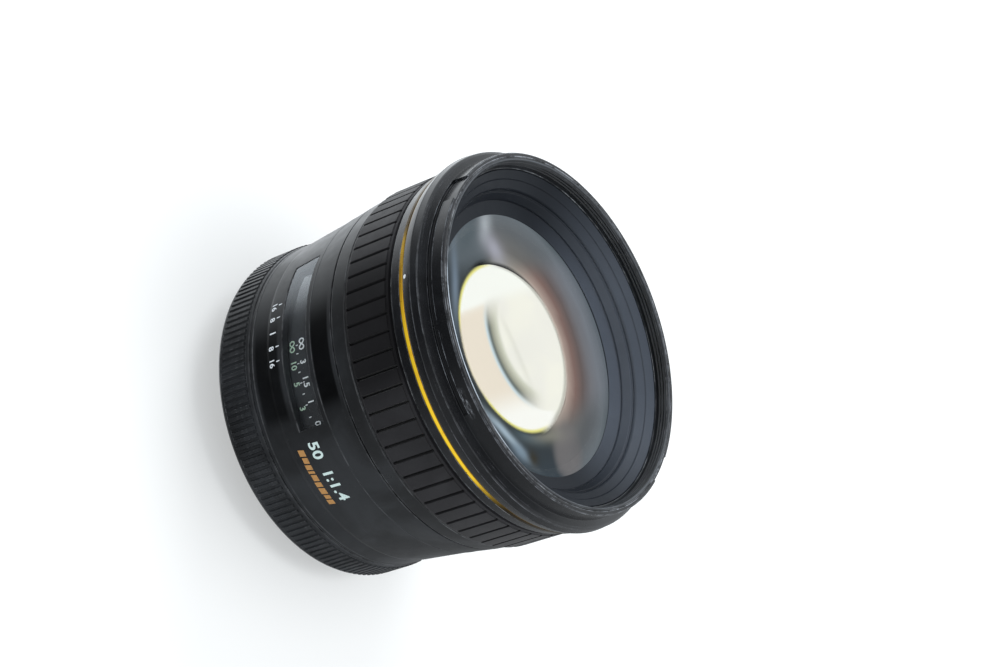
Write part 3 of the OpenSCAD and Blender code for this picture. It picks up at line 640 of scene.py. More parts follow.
# painted highlights, reflections and shade on the front glass
# chart centre, direction, half length, half width, display colour, amount, flat middle
SPOTS = [
    ((484.5, 224), (0.02, 1.0), 19, 6.5, (172, 180, 186), 0.95, False),
    ((494.5, 249), (0.48, 0.88), 17, 7.5, (170, 172, 184), 0.95, False),
    ((468, 236), (0.5, -1.0), 16, 7, (88, 99, 105), 0.8, False),
    ((568, 452), (0.12, 1.0), 29, 13, (119, 117, 118), 0.85, True),
    ((584, 432), (0.4, -1.0), 26, 9, (92, 95, 98), 0.6, False),
    ((505, 433), (0.66, 0.75), 30, 3.2, (176, 196, 210), 0.9, False),
    ((520, 452), (0.66, 0.72), 12, 5.0, (128, 148, 164), 0.8, False),
    ((528, 437), (1.0, 0.35), 16, 6, (88, 106, 116), 0.7, False),
    ((534, 459), (0.3, 1.0), 9, 4.5, (62, 58, 46), 0.8, False),
    ((455, 286), (0.02, 1.0), 40, 3.6, (124, 140, 156), 0.85, False),
    ((548, 436), (1.0, -0.05), 16, 7, (150, 150, 138), 0.6, False)]


def quadratic(mat, x, y, terms):
    total = mat.add(terms[0], mat.add(mat.mul(x, terms[1]), mat.mul(y, terms[2])))
    for first, second, term in ((x, x, terms[3]), (x, y, terms[4]), (y, y, terms[5])):
        total = mat.add(total, mat.mul(first, second, term))
    return total


def colour_ramp(mat, value, stops, low, high):
    node = mat.node("ShaderNodeValToRGB", mat.fade(value, low, high, kind="LINEAR"))
    elements = node.color_ramp.elements
    while len(elements) < len(stops):
        elements.new(0.5)
    for element, (place, colour) in zip(elements, stops):
        element.position = (place - low) / (high - low)
        element.color = (*display(*colour), 1.0)
    return node.outputs[0]


def pupil_frame(mat, across, down):
    """Place relative to the pupil along its long and short axes, and the distance
    from its centre; all are 1 on its rim."""
    across = mat.sub(across, PUPIL_CENTRE[0])
    down = mat.sub(down, PUPIL_CENTRE[1])
    ax, ay = PUPIL_AXIS
    along = mat.add(mat.mul(across, ax / PUPIL_LONG), mat.mul(down, ay / PUPIL_LONG))
    side = mat.sub(mat.mul(across, ay / PUPIL_SHORT), mat.mul(down, ax / PUPIL_SHORT))
    return along, side, mat.hypot(along, side)


def spot(mat, across, down, centre, direction, half_length, half_width, flat):
    """Soft elongated spot on the chart."""
    length = math.hypot(*direction)
    dx, dy = direction[0] / length, direction[1] / length
    across, down = mat.sub(across, centre[0]), mat.sub(down, centre[1])
    along = mat.add(mat.mul(across, dx / half_length), mat.mul(down, dy / half_length))
    side = mat.sub(mat.mul(down, dx / half_width), mat.mul(across, dy / half_width))
    square = mat.square_sum(along, side)
    if flat:
        return mat.fade(square, 1.5, 0.35)
    return mat.math("EXPONENT", mat.mul(square, -1.0))


def painted_room_reflections(mat, point, geometry, surface):
    """Lay painted reflections of the room, as a pale glowing veil, over the surface shader."""
    x, y, _ = mat.axes(point)
    across, down = (quadratic(mat, x, y, terms) for terms in FRONT_TO_CHART)
    waves = mat.noise(point, scale=0.09, rough=0.5, distort=0.6)
    across = mat.vary(across, waves, 5.0)
    along, side, rim = pupil_frame(mat, across, down)
    rose, grey, dark = (colour_ramp(mat, rim, stops, 0.9, 2.2)
                        for stops in (ROSE_STOPS, GREY_STOPS, DARK_STOPS))
    colour = mat.mix(mat.band(along, rise=(-0.95, -0.55), fall=(1.15, 0.70)), grey, rose)
    bright_side = mat.fade(side, -0.05, 0.40)
    colour = mat.mix(bright_side, dark, colour)
    # the negative end of the long axis is pale on the dark side too
    pale_end = mat.mul(mat.fade(along, -0.82, -1.18), mat.fade(side, -0.95, -0.35))
    colour = mat.mix(mat.mul(pale_end, mat.invert(bright_side)), colour, display(97, 106, 112))
    for centre, direction, half_length, half_width, tone, amount, flat in SPOTS:
        mask = spot(mat, across, down, centre, direction, half_length, half_width, flat)
        colour = mat.mix(mask, colour, display(*tone), amount=amount)
    # strongest in the main view; open over the pupil, gone well outside it
    near = mat.fade(mat.dot(geometry.outputs["Incoming"], VIEW), 0.86, 0.985)
    opening = mat.lerp(mat.fade(side, -0.1, 0.25), mat.fade(rim, 0.995, 1.07),
                       mat.fade(rim, 0.955, 1.015))
    cover = mat.mul(opening, mat.fade(rim, 2.15, 1.80), mat.lerp(near, 0.30, 0.90))
    strength = mat.lerp(near, 0.55, 1.0)
    streaks = mat.noise(mat.vector("MULTIPLY", point, (1.0, 1.0, 0.2)), scale=0.22, distort=0.4)
    streaks = mat.add(0.94, mat.mul(streaks, 0.12))
    veil = mat.node("ShaderNodeEmission", Color=colour, Strength=mat.mul(strength, streaks))
    return mat.blend(cover, surface, veil)


def coated(name, tint, amount, grazing, front_index=None):
    """Coated optical face: clear, with a coloured reflection that grows at grazing
    angles, fine dust and faint cleaning marks. With front_index the face also bends
    light and carries painted reflections of the room."""
    mat = new_shader(name)
    point = mat.point()
    path = mat.node("ShaderNodeLightPath").outputs
    facing = mat.node("ShaderNodeLayerWeight", Blend=0.5).outputs["Facing"]
    smear = mat.noise(point, scale=0.12, detail=4, distort=0.8)
    dust = mat.mul(mat.fade(mat.noise(point, scale=3.0, detail=2, rough=0.7), 0.70, 0.76),
                   mat.fade(mat.noise(point, scale=0.3, detail=2, rough=0.5), 0.45, 0.6))
    mirror = mat.add(amount, mat.mul(mat.math("POWER", facing, 3.0), grazing))
    mirror = mat.math("MULTIPLY", mirror, mat.add(0.93, mat.mul(smear, 0.14)), clamp=True)
    reflected = mat.mix(mat.math("POWER", facing, 2.0), tint, tuple(0.5 + 0.5 * c for c in tint))
    gloss = mat.node("ShaderNodeBsdfAnisotropic", Color=reflected,
                     Roughness=mat.add(0.05, mat.mul(smear, 0.02)))
    clear = mat.node("ShaderNodeBsdfTransparent", Color=(0.985, 0.99, 0.985))
    body = clear
    if front_index:
        body = mat.node("ShaderNodeBsdfRefraction", Color=(0.98, 0.985, 0.98), Roughness=0.0,
                        IOR=front_index)
    surface = mat.blend(mirror, body, gloss)
    # no even haze, only dust
    film = mat.node("ShaderNodeBsdfDiffuse", Color=(0.3, 0.3, 0.32))
    surface = mat.blend(mat.add(0.0, mat.mul(dust, 0.05)), surface, film)
    # shadow and diffuse rays pass straight through
    skip = mat.math("ADD", path["Is Shadow Ray"], path["Is Diffuse Ray"], clamp=True)
    if front_index:
        geometry = mat.node("ShaderNodeNewGeometry")
        surface = painted_room_reflections(mat, point, geometry, surface)
        skip = mat.math("ADD", skip, geometry.outputs["Backfacing"], clamp=True)
    return mat.finish(mat.blend(skip, surface, clear))


def pupil_glow():
    """First surface behind the diaphragm: it glows with painted light that stands for the light
    that comes up through the rear elements, with painted crescents that their edges would draw in
    it."""
    mat = new_shader("glass_rear_group_light")
    point = mat.point()
    x, y, _ = mat.axes(point)
    across, down = (quadratic(mat, x, y, terms) for terms in REAR_TO_CHART)
    along, side, rim = pupil_frame(mat, across, down)
    waves = mat.noise(point, scale=0.16, rough=0.5, distort=0.5)
    colour = mat.mix(mat.fade(waves, 0.35, 0.65), display(249, 246, 237), display(244, 241, 235))
    # peach crescent outside an inner circle, white at its two ends
    circle = mat.hypot(mat.add(along, 0.03), mat.sub(side, 0.43))
    circle = mat.math("DIVIDE", circle, 0.85)
    outside = mat.fade(circle, 0.985, 1.03)
    crescent = mat.mix(mat.fade(along, -0.52, -0.60), display(240, 228, 214),
                       display(255, 255, 253))
    crescent = mat.mix(mat.fade(along, 0.35, 0.75), crescent, display(255, 253, 250))
    colour = mat.mix(mat.mul(outside, mat.fade(side, 0.45, 0.25)), colour, crescent)
    colour = mat.mix(mat.fade(along, -0.45, -0.66), colour, display(253, 253, 249))
    # grey-green shade inside the rim of the circle
    arc = mat.band(along, rise=(-0.62, -0.25), fall=(0.80, 0.42))
    arc = mat.mul(arc, mat.fade(side, 0.30, -0.02))
    shade = colour_ramp(mat, circle, DISC_STOPS, 0.65, 1.15)
    ring = mat.band(circle, rise=(0.68, 0.78), fall=(1.10, 1.03))
    colour = mat.mix(mat.mul(arc, ring), colour, shade)
    # thin line across the circle
    line = mat.absolute(mat.add(mat.sub(side, 0.0), mat.mul(along, -0.12)))
    middle = mat.fade(mat.absolute(mat.add(along, -0.05)), 0.55, 0.2)
    line = mat.mul(mat.fade(line, 0.09, 0.0), mat.mul(middle, 0.35))
    colour = mat.mix(line, colour, display(214, 212, 202))
    # yellow fringe on one side of the rim, green-grey edge on the other
    fringe = mat.mul(mat.fade(rim, 0.950, 0.995), mat.fade(side, 0.25, -0.10))
    ends = mat.math("MAXIMUM", mat.fade(along, -0.30, -0.50), mat.fade(along, 0.30, 0.55))
    colour = mat.mix(mat.mul(fringe, mat.lerp(ends, 0.12, 0.85)), colour, display(232, 224, 104))
    grey_edge = mat.mul(mat.fade(rim, 0.93, 0.99), mat.fade(side, 0.1, 0.4))
    colour = mat.mix(grey_edge, colour, display(176, 174, 166), amount=0.75)
    # painted shade: dark surround beyond the rim
    dark = mat.mix(mat.fade(waves, 0.3, 0.7), (0.030, 0.036, 0.038), (0.045, 0.050, 0.052))
    beyond = mat.lerp(mat.fade(side, -0.1, 0.25), mat.fade(rim, 0.985, 1.04),
                      mat.fade(rim, 1.03, 1.09))
    colour = mat.mix(beyond, colour, dark)
    glow = mat.node("ShaderNodeEmission", Color=colour, Strength=1.10)
    # diffuse rays see a weak glow, so it hardly lights the inside
    path = mat.node("ShaderNodeLightPath").outputs
    quiet = mat.node("ShaderNodeEmission", Color=(1.0, 0.96, 0.9), Strength=0.12)
    return mat.finish(mat.blend(path["Is Diffuse Ray"], glow, quiet))


# the front face also carries the painted reflections of the room
COAT_FRONT = coated("glass_front_coating_painted_reflections", (0.80, 0.76, 0.80), amount=0.012, grazing=0.10,
                    front_index=2.60)
COAT_MAUVE = coated("glass_mauve_coating", (0.85, 0.66, 0.72), amount=0.012, grazing=0.10)
COAT_GREEN = coated("glass_green_coating", (0.60, 0.86, 0.72), amount=0.010, grazing=0.10)
COAT_AMBER = coated("glass_amber_coating", (0.95, 0.80, 0.52), amount=0.012, grazing=0.10)
COAT_BLUE = coated("glass_blue_coating", (0.62, 0.74, 0.95), amount=0.010, grazing=0.10)
PANE = coated("window_pane_clear", (0.90, 0.95, 1.0), amount=0.045, grazing=0.55)
GLOW = pupil_glow()


# =====================================================================
# CAD nodes that keep their shape and get a finished material
# =====================================================================
KEPT_NODES = {
    "mount_flange": MOUNT, "mount_screws": STEEL, "rear_baffle": INNER, "contact_block": INNER,
    "contact_pins": CONTACT, "contact_flex": FLEX, "main_board": BOARD,
    "guide_tube": ALUMINIUM, "inner_screws": STEEL, "wave_spring": SPRING, "felt_ring": FELT,
    "motor_stator": BRASS, "motor_rotor": ALUMINIUM, "roller_1": SPRING, "roller_2": SPRING,
    "roller_3": SPRING, "manual_ring": ALUMINIUM, "focus_key": SPRING, "cam_ring": BRASS,
    "cam_retainer": SPRING, "cam_followers": BRASS, "carrier_tube": INNER,
    "aperture_base": CELL, "aperture_ring": BLADE, "aperture_cover": CELL,
    "aperture_motor": ALUMINIUM, "aperture_pinion": RESIN, "rear_cell": CELL,
    "rear_spacers": INNER, "rear_retaining_ring": INNER,
    **{"aperture_blade_%d" % i: BLADE for i in range(1, 10)},
}


def dress_kept_nodes():
    for name, material in KEPT_NODES.items():
        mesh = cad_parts[name].data
        mesh.materials.clear()
        mesh.materials.append(material)
        count = len(mesh.polygons)
        mesh.polygons.foreach_set("material_index", np.zeros(count, np.int32))
        mesh.polygons.foreach_set("use_smooth", np.ones(count, bool))
        mesh.set_sharp_from_angle(angle=math.radians(35))


dress_kept_nodes()


# =====================================================================
# rear shell
# =====================================================================
REAR_RADIUS = 37.62                       # floor between the ribs
RIB_TOP = 37.93
RIB_COUNT = 150
RIB_Z = (3.95, 10.85)
RIB_CREST, RIB_FLANK = 0.44, 0.12         # widths in rib pitches
RIB_CHAMFER = 0.12
REAR_FLANGE = [(26.2, 2.44), (36.75, 2.44), (37.3, 2.75), (37.65, 3.4), (37.65, 3.9),
               (36.8, 3.9), (36.8, 5.05), (26.2, 5.05)]
REAR_WALL = [(36.75, 3.86), (REAR_RADIUS, 3.86), (REAR_RADIUS, 10.96), (37.7, 10.98),
             (REAR_RADIUS, 11.7), (37.45, 11.9), (36.75, 11.9)]


def add_ribs(piece):
    """Ring of straight ribs with chamfered ends and softened crests."""
    crest, flank = RIB_CREST, RIB_FLANK
    # (height as a share, place in pitches, edge) across one rib
    section = [(0, 0.0, 0), (0.55, flank * 0.55, 0), (1, flank, 1),
               (1, flank + crest * 0.12, 0.2), (1, flank + crest * 0.88, 0.2),
               (1, flank + crest, 1), (0.55, flank * 1.45 + crest, 0),
               (0, 2 * flank + crest, 0), (0, 0.5 + flank + crest / 2, 0)]
    z1, z2 = RIB_Z
    # (z, height as a share)
    rows = [(z1, 0.0), (z1 + 0.02, 0.35), (z1 + RIB_CHAMFER, 1.0),
            (z2 - RIB_CHAMFER, 1.0), (z2 - 0.02, 0.35), (z2, 0.0)]
    verts, edges = [], []
    for z, share in rows:
        for i in range(RIB_COUNT):
            for height, place, edge in section:
                radius = REAR_RADIUS + (RIB_TOP - REAR_RADIUS) * height * share
                verts.append(around(radius, math.radians((i + place) * 360.0 / RIB_COUNT), z))
                edges.append(edge * share)
    piece.add(verts, stacked_ring_faces(len(rows), RIB_COUNT * len(section)), edges)


def build_rear_shell():
    piece = Piece()
    piece.lathe(rounded(REAR_FLANGE, 0.10))
    piece.lathe(rounded(REAR_WALL, 0.10))
    add_ribs(piece)
    for angle in (30, 150, 270):          # three inner blocks
        block = [(31.4, 5.0, 0), (34.7, 5.0, 0), (34.7, 6.28, 0), (31.4, 6.28, 0)]
        piece.lathe(block, angle - 3, angle + 3)
    piece.finish("rear_shell", "barrel", BARREL, replaces="rear_barrel", slot="barrel_plastic")


build_rear_shell()


# =====================================================================
# main shell with the window opening and the switch seat
# =====================================================================
WINDOW_START, WINDOW_END = -120.0, -60.0
WINDOW_LOW, WINDOW_HIGH = 22.2, 29.8
SEAT_START, SEAT_END = 167.8, 192.2
CONE_START, CONE_END = (37.75, 18.0), (39.0, 30.0)
SHELL_FOOT = [(35.6, 5.1), (36.7, 5.1), (36.7, 12.0)]
SHELL_SKIRT = [(37.35, 12.0), (37.5, 12.15), (37.5, 17.2), CONE_START]
SHELL_TOP = [CONE_END, (40.05, 37.6), (39.95, 37.72), (37.4, 37.72), (37.4, 55.0),
             (35.6, 55.0), (35.6, 36.4), (36.6, 36.4)]
SHELL_STEP = [(36.6, 20.4), (35.6, 20.4)]
OUTLINE = SHELL_SKIRT[1:] + SHELL_TOP[:2]  # outside of the shell, rising in z


def cone_radius(z):
    """Outside radius on the cone beside the window, prolonged at both ends."""
    (r0, z0), (r1, z1) = CONE_START, CONE_END
    return r0 + (z - z0) * (r1 - r0) / (z1 - z0)


def shell_radius(z):
    return float(np.interp(z, [p[1] for p in OUTLINE], [p[0] for p in OUTLINE]))


def build_main_shell():
    full = SHELL_FOOT + SHELL_SKIRT + SHELL_TOP + SHELL_STEP
    below = (SHELL_FOOT + SHELL_SKIRT + [(cone_radius(WINDOW_LOW), WINDOW_LOW),
                                         (36.6, WINDOW_LOW)] + SHELL_STEP)
    above = [(36.6, WINDOW_HIGH), (cone_radius(WINDOW_HIGH), WINDOW_HIGH)] + SHELL_TOP
    seat = (SHELL_FOOT + SHELL_SKIRT[:2]
            + [(37.5, 13.4), (36.92, 13.4), (36.92, 30.6), (cone_radius(30.6), 30.6)]
            + SHELL_TOP[1:] + SHELL_STEP)
    piece = Piece()
    for profile, start, end in ((full, WINDOW_END, SEAT_START), (seat, SEAT_START, SEAT_END),
                                (full, SEAT_END, WINDOW_START + 360),
                                (below, WINDOW_START, WINDOW_END),
                                (above, WINDOW_START, WINDOW_END)):
        piece.lathe(rounded(profile, 0.14), start, end)
    # bevelled frame of the window opening: two ends, then two long edges
    low, high = cone_radius(WINDOW_LOW), cone_radius(WINDOW_HIGH)
    for start, end in ((WINDOW_START, -119.72), (-60.28, WINDOW_END)):
        piece.lathe([(36.7, WINDOW_LOW, 0), (low - 0.02, WINDOW_LOW, 0.3),
                     (high - 0.02, WINDOW_HIGH, 0.3), (36.7, WINDOW_HIGH, 0)], start, end)
    for z, radius, side in ((WINDOW_LOW, low, 1), (WINDOW_HIGH, high, -1)):
        piece.lathe(rounded([(36.75, z), (radius - 0.03, z), (radius - 0.03, z + side * 0.14),
                             (36.75, z + side * 0.3)], 0.05), -119.8, -60.2)
    # fine raised lines below and above the window
    for z, radius in ((12.95, 37.5), (31.1, cone_radius(31.1) + 0.03)):
        piece.strip([(radius - 0.01, z - 0.22, 0), (radius + 0.055, z - 0.10, 0.8),
                     (radius + 0.055, z + 0.10, 0.8), (radius - 0.01, z + 0.22, 0)])
    piece.finish("main_shell", "barrel", BARREL, replaces="main_barrel", slot="barrel_plastic")


build_main_shell()


# =====================================================================
# distance window, scale and printed marks
# =====================================================================
DRUM_RADIUS = 36.3
METRE_Z, FEET_Z, TICK_Z = 26.1, 23.45, 24.78
INFINITY_ANGLE = -88.6
INDEX_ANGLE = -94.6
# (text, degrees past infinity)
METRES = [("3", 6.4), ("1.5", 13.2), ("1", 20.2), ("0.7", 29.0), ("0.5", 40.0), ("0.45", 47.2)]
FEET = [("10", 6.6), ("5", 13.2), ("3", 21.5), ("2", 31.0), ("1.7", 38.5), ("1.5", 46.8)]
SCALE_TICKS = (0.0, 3.0, 6.5, 9.5, 13.2, 17.0, 20.8, 25.0, 30.0, 35.0, 39.5, 43.5, 47.0)
# (text, degrees from the index line)
FIELD_MARKS = [("16", -10.2), ("8", -5.2), ("8", 5.2), ("16", 10.2)]
GOLD_BAR_WIDTHS = (1.6, 1.5, 1.3, 0.7, 1.7, 1.3, 1.7, 1.1, 1.3)
GOLD_BAR_START, GOLD_BAR_GAP = -54.6, 0.30    # degrees
SINK = -0.03                              # printed marks reach this far into the surface


def drum_radius(z):
    return DRUM_RADIUS


def text_mark(name, text, height, angle, z, radius_at, material, body, bold,
              lift=0.02, spacing=1.0):
    """Raised characters wrapped round the axis, reading along the angle with +Z up."""
    curve = bpy.data.curves.new(name + "_curve", "FONT")
    curve.body = text
    curve.size = 1.0
    curve.align_x = "CENTER"
    curve.align_y = "CENTER"
    curve.space_character = spacing
    curve.resolution_u = 4
    curve.offset = bold
    curve.extrude = 0.02
    holder = bpy.data.objects.new(name + "_holder", curve)
    scene.collection.objects.link(holder)
    graph = bpy.context.evaluated_depsgraph_get()
    flat = bpy.data.meshes.new_from_object(holder.evaluated_get(graph))
    points = [tuple(vertex.co) for vertex in flat.vertices]
    faces = [tuple(polygon.vertices) for polygon in flat.polygons]
    bpy.data.objects.remove(holder)
    bpy.data.curves.remove(curve)
    bpy.data.meshes.remove(flat)
    scale = height / 0.70                 # capitals of the built-in face are 0.7 high
    verts = []
    for x, y, depth in points:
        mark_z = z + y * scale
        radius = radius_at(mark_z)
        raised = radius + lift + (0.04 if depth > 0 else SINK)
        verts.append(around(raised, math.radians(angle) + x * scale / radius, mark_z))
    Piece().add(verts, faces).finish(name, body, material, angle=25)


def bar_mark(name, angle, z, width, height, radius_at, material, body, lift=0.05, slant=0.0):
    """Printed bar: width runs round the barrel, height along it."""
    steps = max(3, int(width / 0.4) + 2)
    radius = radius_at(z)
    bevel = 0.03
    verts, faces = [], []
    for k in range(steps + 1):
        at_end = k in (0, steps)
        if at_end:
            along = -width / 2 if k == 0 else width / 2
        else:
            along = -width / 2 + bevel + (width - 2 * bevel) * (k - 1) / (steps - 2)
        for dz, rise in ((-height / 2, SINK), (-height / 2 + bevel, lift),
                         (height / 2 - bevel, lift), (height / 2, SINK)):
            turn = math.radians(angle) + (along + slant * dz) / radius
            verts.append(around(radius + (SINK if at_end else rise), turn, z + dz))
    for k in range(steps):
        for j in range(3):
            base = k * 4 + j
            faces.append((base, base + 4, base + 5, base + 1))
    Piece().add(verts, faces).finish(name, body, material, angle=25)


def infinity_mark(name, z, material):
    """Infinity sign drawn as a band along a figure of eight."""
    def curve(t):
        spread = 1 + math.sin(t) ** 2
        return 1.2 * math.cos(t) / spread, 1.7 * math.sin(t) * math.cos(t) / spread

    verts, faces = [], []
    steps, half_width = 48, 0.14
    for k in range(steps):
        t = 2 * math.pi * k / steps
        x, y = curve(t)
        next_x, next_y = curve(t + 0.01)
        dx, dy = next_x - x, next_y - y
        length = math.hypot(dx, dy)
        for offset in (-half_width, half_width):
            for rise in (-0.02, 0.06):
                turn = math.radians(INFINITY_ANGLE) + (x - dy / length * offset) / DRUM_RADIUS
                verts.append(around(DRUM_RADIUS + rise, turn, z + y + dx / length * offset))
    for k in range(steps):
        b, c = 4 * k, 4 * ((k + 1) % steps)
        faces += [(b + 1, b + 3, c + 3, c + 1), (b, b + 1, c + 1, c), (b + 3, b + 2, c + 2, c + 3)]
    Piece().add(verts, faces).finish(name, "cam", material, angle=25)


def build_window_and_drum():
    pane = [(36.7, 22.25), (38.06, 22.25), (38.88, 29.75), (36.7, 29.75)]
    Piece().lathe(rounded(pane), -119.85, -60.15).finish(
        "window_pane_curved", "barrel", PANE, replaces="window_pane", slot="window_clear")
    piece = Piece()
    piece.lathe(rounded([(35.75, 21.0), (DRUM_RADIUS, 21.0), (DRUM_RADIUS, 31.4),
                         (35.75, 31.4)], 0.08))
    piece.lathe(rounded([(32.65, 30.6), (36.0, 30.6), (36.0, 31.4), (32.65, 31.4)], 0.08),
                -130, -50)
    piece.finish("scale_drum", "cam", DRUM, replaces="distance_scale", slot="inner_black")


def build_scale_marks():
    for unit, entries, z, ink in (("metre", METRES, METRE_Z, WHITE),
                                  ("feet", FEET, FEET_Z, GREENISH)):
        for i, (text, turn) in enumerate(entries, 1):
            text_mark("%s_mark_%d" % (unit, i), text, 1.5, INFINITY_ANGLE + turn, z,
                      drum_radius, ink, "cam", bold=0.012)
    infinity_mark("infinity_mark_m", METRE_Z, WHITE)
    infinity_mark("infinity_mark_ft", FEET_Z, GREENISH)
    for i, turn in enumerate(SCALE_TICKS):
        bar_mark("scale_tick_%02d" % i, INFINITY_ANGLE + turn, TICK_Z, 0.22, 0.62,
                 drum_radius, WHITE, "cam", lift=0.03)


def build_barrel_marks():
    # depth-of-field marks under the window
    bar_mark("index_line", INDEX_ANGLE, 19.75, 0.34, 2.6, shell_radius, WHITE, "barrel")
    for i, (text, turn) in enumerate(FIELD_MARKS):
        text_mark("field_mark_%d" % i, text, 1.45, INDEX_ANGLE + turn, 18.75, shell_radius,
                  WHITE, "barrel", bold=0.015, lift=0.0)
        bar_mark("field_tick_%d" % i, INDEX_ANGLE + turn, 20.75, 0.26, 1.0, shell_radius,
                 WHITE, "barrel")
    # pale numerals and gold bars beside the window
    text_mark("spec_numerals", "50  1:1.4", 2.75, -45.2, 24.35, shell_radius, PALE, "barrel",
              bold=0.026, lift=0.0, spacing=1.06)
    angle = GOLD_BAR_START
    for i, width in enumerate(GOLD_BAR_WIDTHS):
        span = math.degrees(width / 38.0)
        height = 1.9 if i % 3 == 1 else 2.25
        bar_mark("gold_bar_%d" % i, angle + span / 2, 20.75, width * 0.92, height,
                 shell_radius, GOLD_INK, "barrel", slant=0.22)
        angle += span + GOLD_BAR_GAP


build_window_and_drum()
build_scale_marks()
build_barrel_marks()


# =====================================================================
# switch
# =====================================================================
PANEL_RADIUS = 38.9
PANEL_FOOT = [(36.96, 13.5), (38.2, 13.5), (PANEL_RADIUS, 14.6)]
PANEL_HEAD = [(PANEL_RADIUS, 29.6), (38.8, 30.5), (36.96, 30.5)]
RECESS_LOW = [(PANEL_RADIUS, 16.4), (38.45, 16.4)]
RECESS_HIGH = [(38.45, 27.6), (PANEL_RADIUS, 27.6)]
PANEL_END = [(36.96, 13.55), (38.1, 13.55), (38.75, 14.65), (38.75, 29.55), (38.65, 30.45),
             (36.96, 30.45)]


def build_switch_panel():
    plain = rounded(PANEL_FOOT + PANEL_HEAD, 0.15)
    recess = rounded(PANEL_FOOT + RECESS_LOW + RECESS_HIGH + PANEL_HEAD, 0.10)
    below_slot = rounded(PANEL_FOOT + RECESS_LOW + [(38.45, 17.0), (36.96, 17.0)], 0.10)
    above_slot = rounded([(36.96, 27.0), (38.45, 27.0)] + RECESS_HIGH + PANEL_HEAD, 0.10)
    end_cap = rounded(PANEL_END, 0.15)
    piece = Piece()
    for profile, start, end in (
            (end_cap, 168.0, 168.25), (plain, 168.25, 174), (recess, 174, 176.6),
            (below_slot, 176.6, 183.4), (above_slot, 176.6, 183.4), (recess, 183.4, 186),
            (plain, 186, 191.75), (end_cap, 191.75, 192.0)):
        piece.lathe(profile, start, end)
    piece.finish("switch_panel", "barrel", PLATE, replaces="switch_plate",
                 slot="barrel_plastic")
    for i, (z, width) in enumerate(((19.9, 0.55), (24.4, 1.3))):
        bar_mark("switch_mark_%d" % i, 189.0, z, width, 0.55, lambda z: PANEL_RADIUS, WHITE,
                 "barrel", lift=0.03)


def build_switch_slider():
    piece = Piece()
    # base under the panel, stem through the slot, cap
    piece.lathe(rounded([(36.42, 17.7), (36.86, 17.7), (36.86, 22.0), (36.42, 22.0)], 0.05),
                175.6, 184.4)
    piece.lathe(rounded([(36.7, 18.3), (38.8, 18.3), (38.8, 21.6), (36.7, 21.6)], 0.05),
                177.4, 182.6)
    piece.lathe(rounded([(38.5, 17.4), (39.2, 17.4), (39.2, 22.6), (38.5, 22.6)], 0.15),
                174.8, 185.2)
    for z in (17.7, 19.5, 21.3):          # finger ridges
        piece.lathe(rounded([(39.1, z), (39.9, z + 0.25), (39.9, z + 0.75), (39.1, z + 1.0)],
                            0.12), 175.2, 184.8)
    piece.finish("switch_slider", "switch", SLIDER, replaces="af_mf_switch",
                 slot="barrel_plastic")


build_switch_panel()
build_switch_slider()


# =====================================================================
# focus ring and its rubber
# =====================================================================
FOCUS_PROFILE = [(37.45, 37.88), (39.85, 37.88), (40.1, 38.1), (40.35, 41.6), (40.15, 41.85),
                 (39.15, 41.95), (39.15, 54.45), (40.2, 54.5), (40.45, 54.7), (40.35, 54.88),
                 (37.45, 54.88)]
GRIP_LOW, GRIP_HIGH = 42.0, 54.4
GRIP_INSIDE, GRIP_RIM = 39.2, 39.9
GRIP_BLOCKS = 68
GRIP_CREST, GRIP_FLANK = 0.83, 0.028      # widths in block pitches
GRIP_SAMPLES = 20        # columns per pitch
# distances of the vertex rows from either end
GRIP_ROWS = [0.0, 0.12, 0.3, 0.5, 0.78, 0.84, 0.9, 0.98, 1.1, 1.3]


def smoothstep(start, end, value):
    t = min(1.0, max(0.0, (value - start) / (end - start)))
    return t * t * (3 - 2 * t)


def build_grip():
    columns = []                          # (angle in radians, pitches from the groove)
    for i in range(GRIP_BLOCKS):
        for k in range(GRIP_SAMPLES):
            place = k / GRIP_SAMPLES
            place -= 0.11 * math.sin(2 * math.pi * place)    # crowd round the groove
            columns.append(((i + place) * 2 * math.pi / GRIP_BLOCKS,
                            abs((place + 0.5) % 1.0 - 0.5)))
    rows = ([GRIP_LOW + d for d in GRIP_ROWS]
            + list(np.linspace(GRIP_LOW + 1.7, GRIP_HIGH - 1.7, 9))
            + [GRIP_HIGH - d for d in GRIP_ROWS[::-1]])
    half_groove = (1 - GRIP_CREST - 2 * GRIP_FLANK) / 2
    verts, edges = [], []
    for z in rows:
        depth = min(z - GRIP_LOW, GRIP_HIGH - z)
        band = GRIP_RIM + 0.70 * smoothstep(0.0, 0.34, depth) + 0.06 * smoothstep(0.34, 0.8, depth)
        # grooves stop short of the end bands; corners of the blocks are rounded
        within = smoothstep(0.80, 0.98, depth)
        for turn, away in columns:
            block = smoothstep(half_groove - 0.012, half_groove + GRIP_FLANK + 0.012, away)
            near_groove = away < half_groove + 0.10
            corner = smoothstep(0.0, 0.30, depth - 0.80) if near_groove else 1.0
            rise = (40.90 - band) * block * (0.35 + 0.65 * corner) - 0.62 * (1 - block)
            verts.append(around(band + within * rise, turn, z))
            # 1 on the blocks and 0 in the grooves, where the rubber material paints shade
            edges.append(1.0 - within * (1 - block))
    piece = Piece().add(verts, stacked_ring_faces(len(rows), len(columns)), edges)
    piece.strip([(GRIP_INSIDE, GRIP_HIGH, 1.0), (GRIP_INSIDE, GRIP_LOW, 1.0)], segments=128)
    for z, radii in ((GRIP_LOW, (GRIP_INSIDE, GRIP_RIM)), (GRIP_HIGH, (GRIP_RIM, GRIP_INSIDE))):
        piece.strip([(radius, z, 1.0) for radius in radii], segments=len(columns))
    piece.finish("grip_sleeve", "focus", RUBBER, replaces="focus_grip", slot="grip_rubber",
                 angle=50)


Piece().lathe(rounded(FOCUS_PROFILE, 0.10)).finish(
    "focus_ring_turned", "focus", FOCUS_RING, replaces="focus_ring", slot="barrel_plastic")
build_grip()


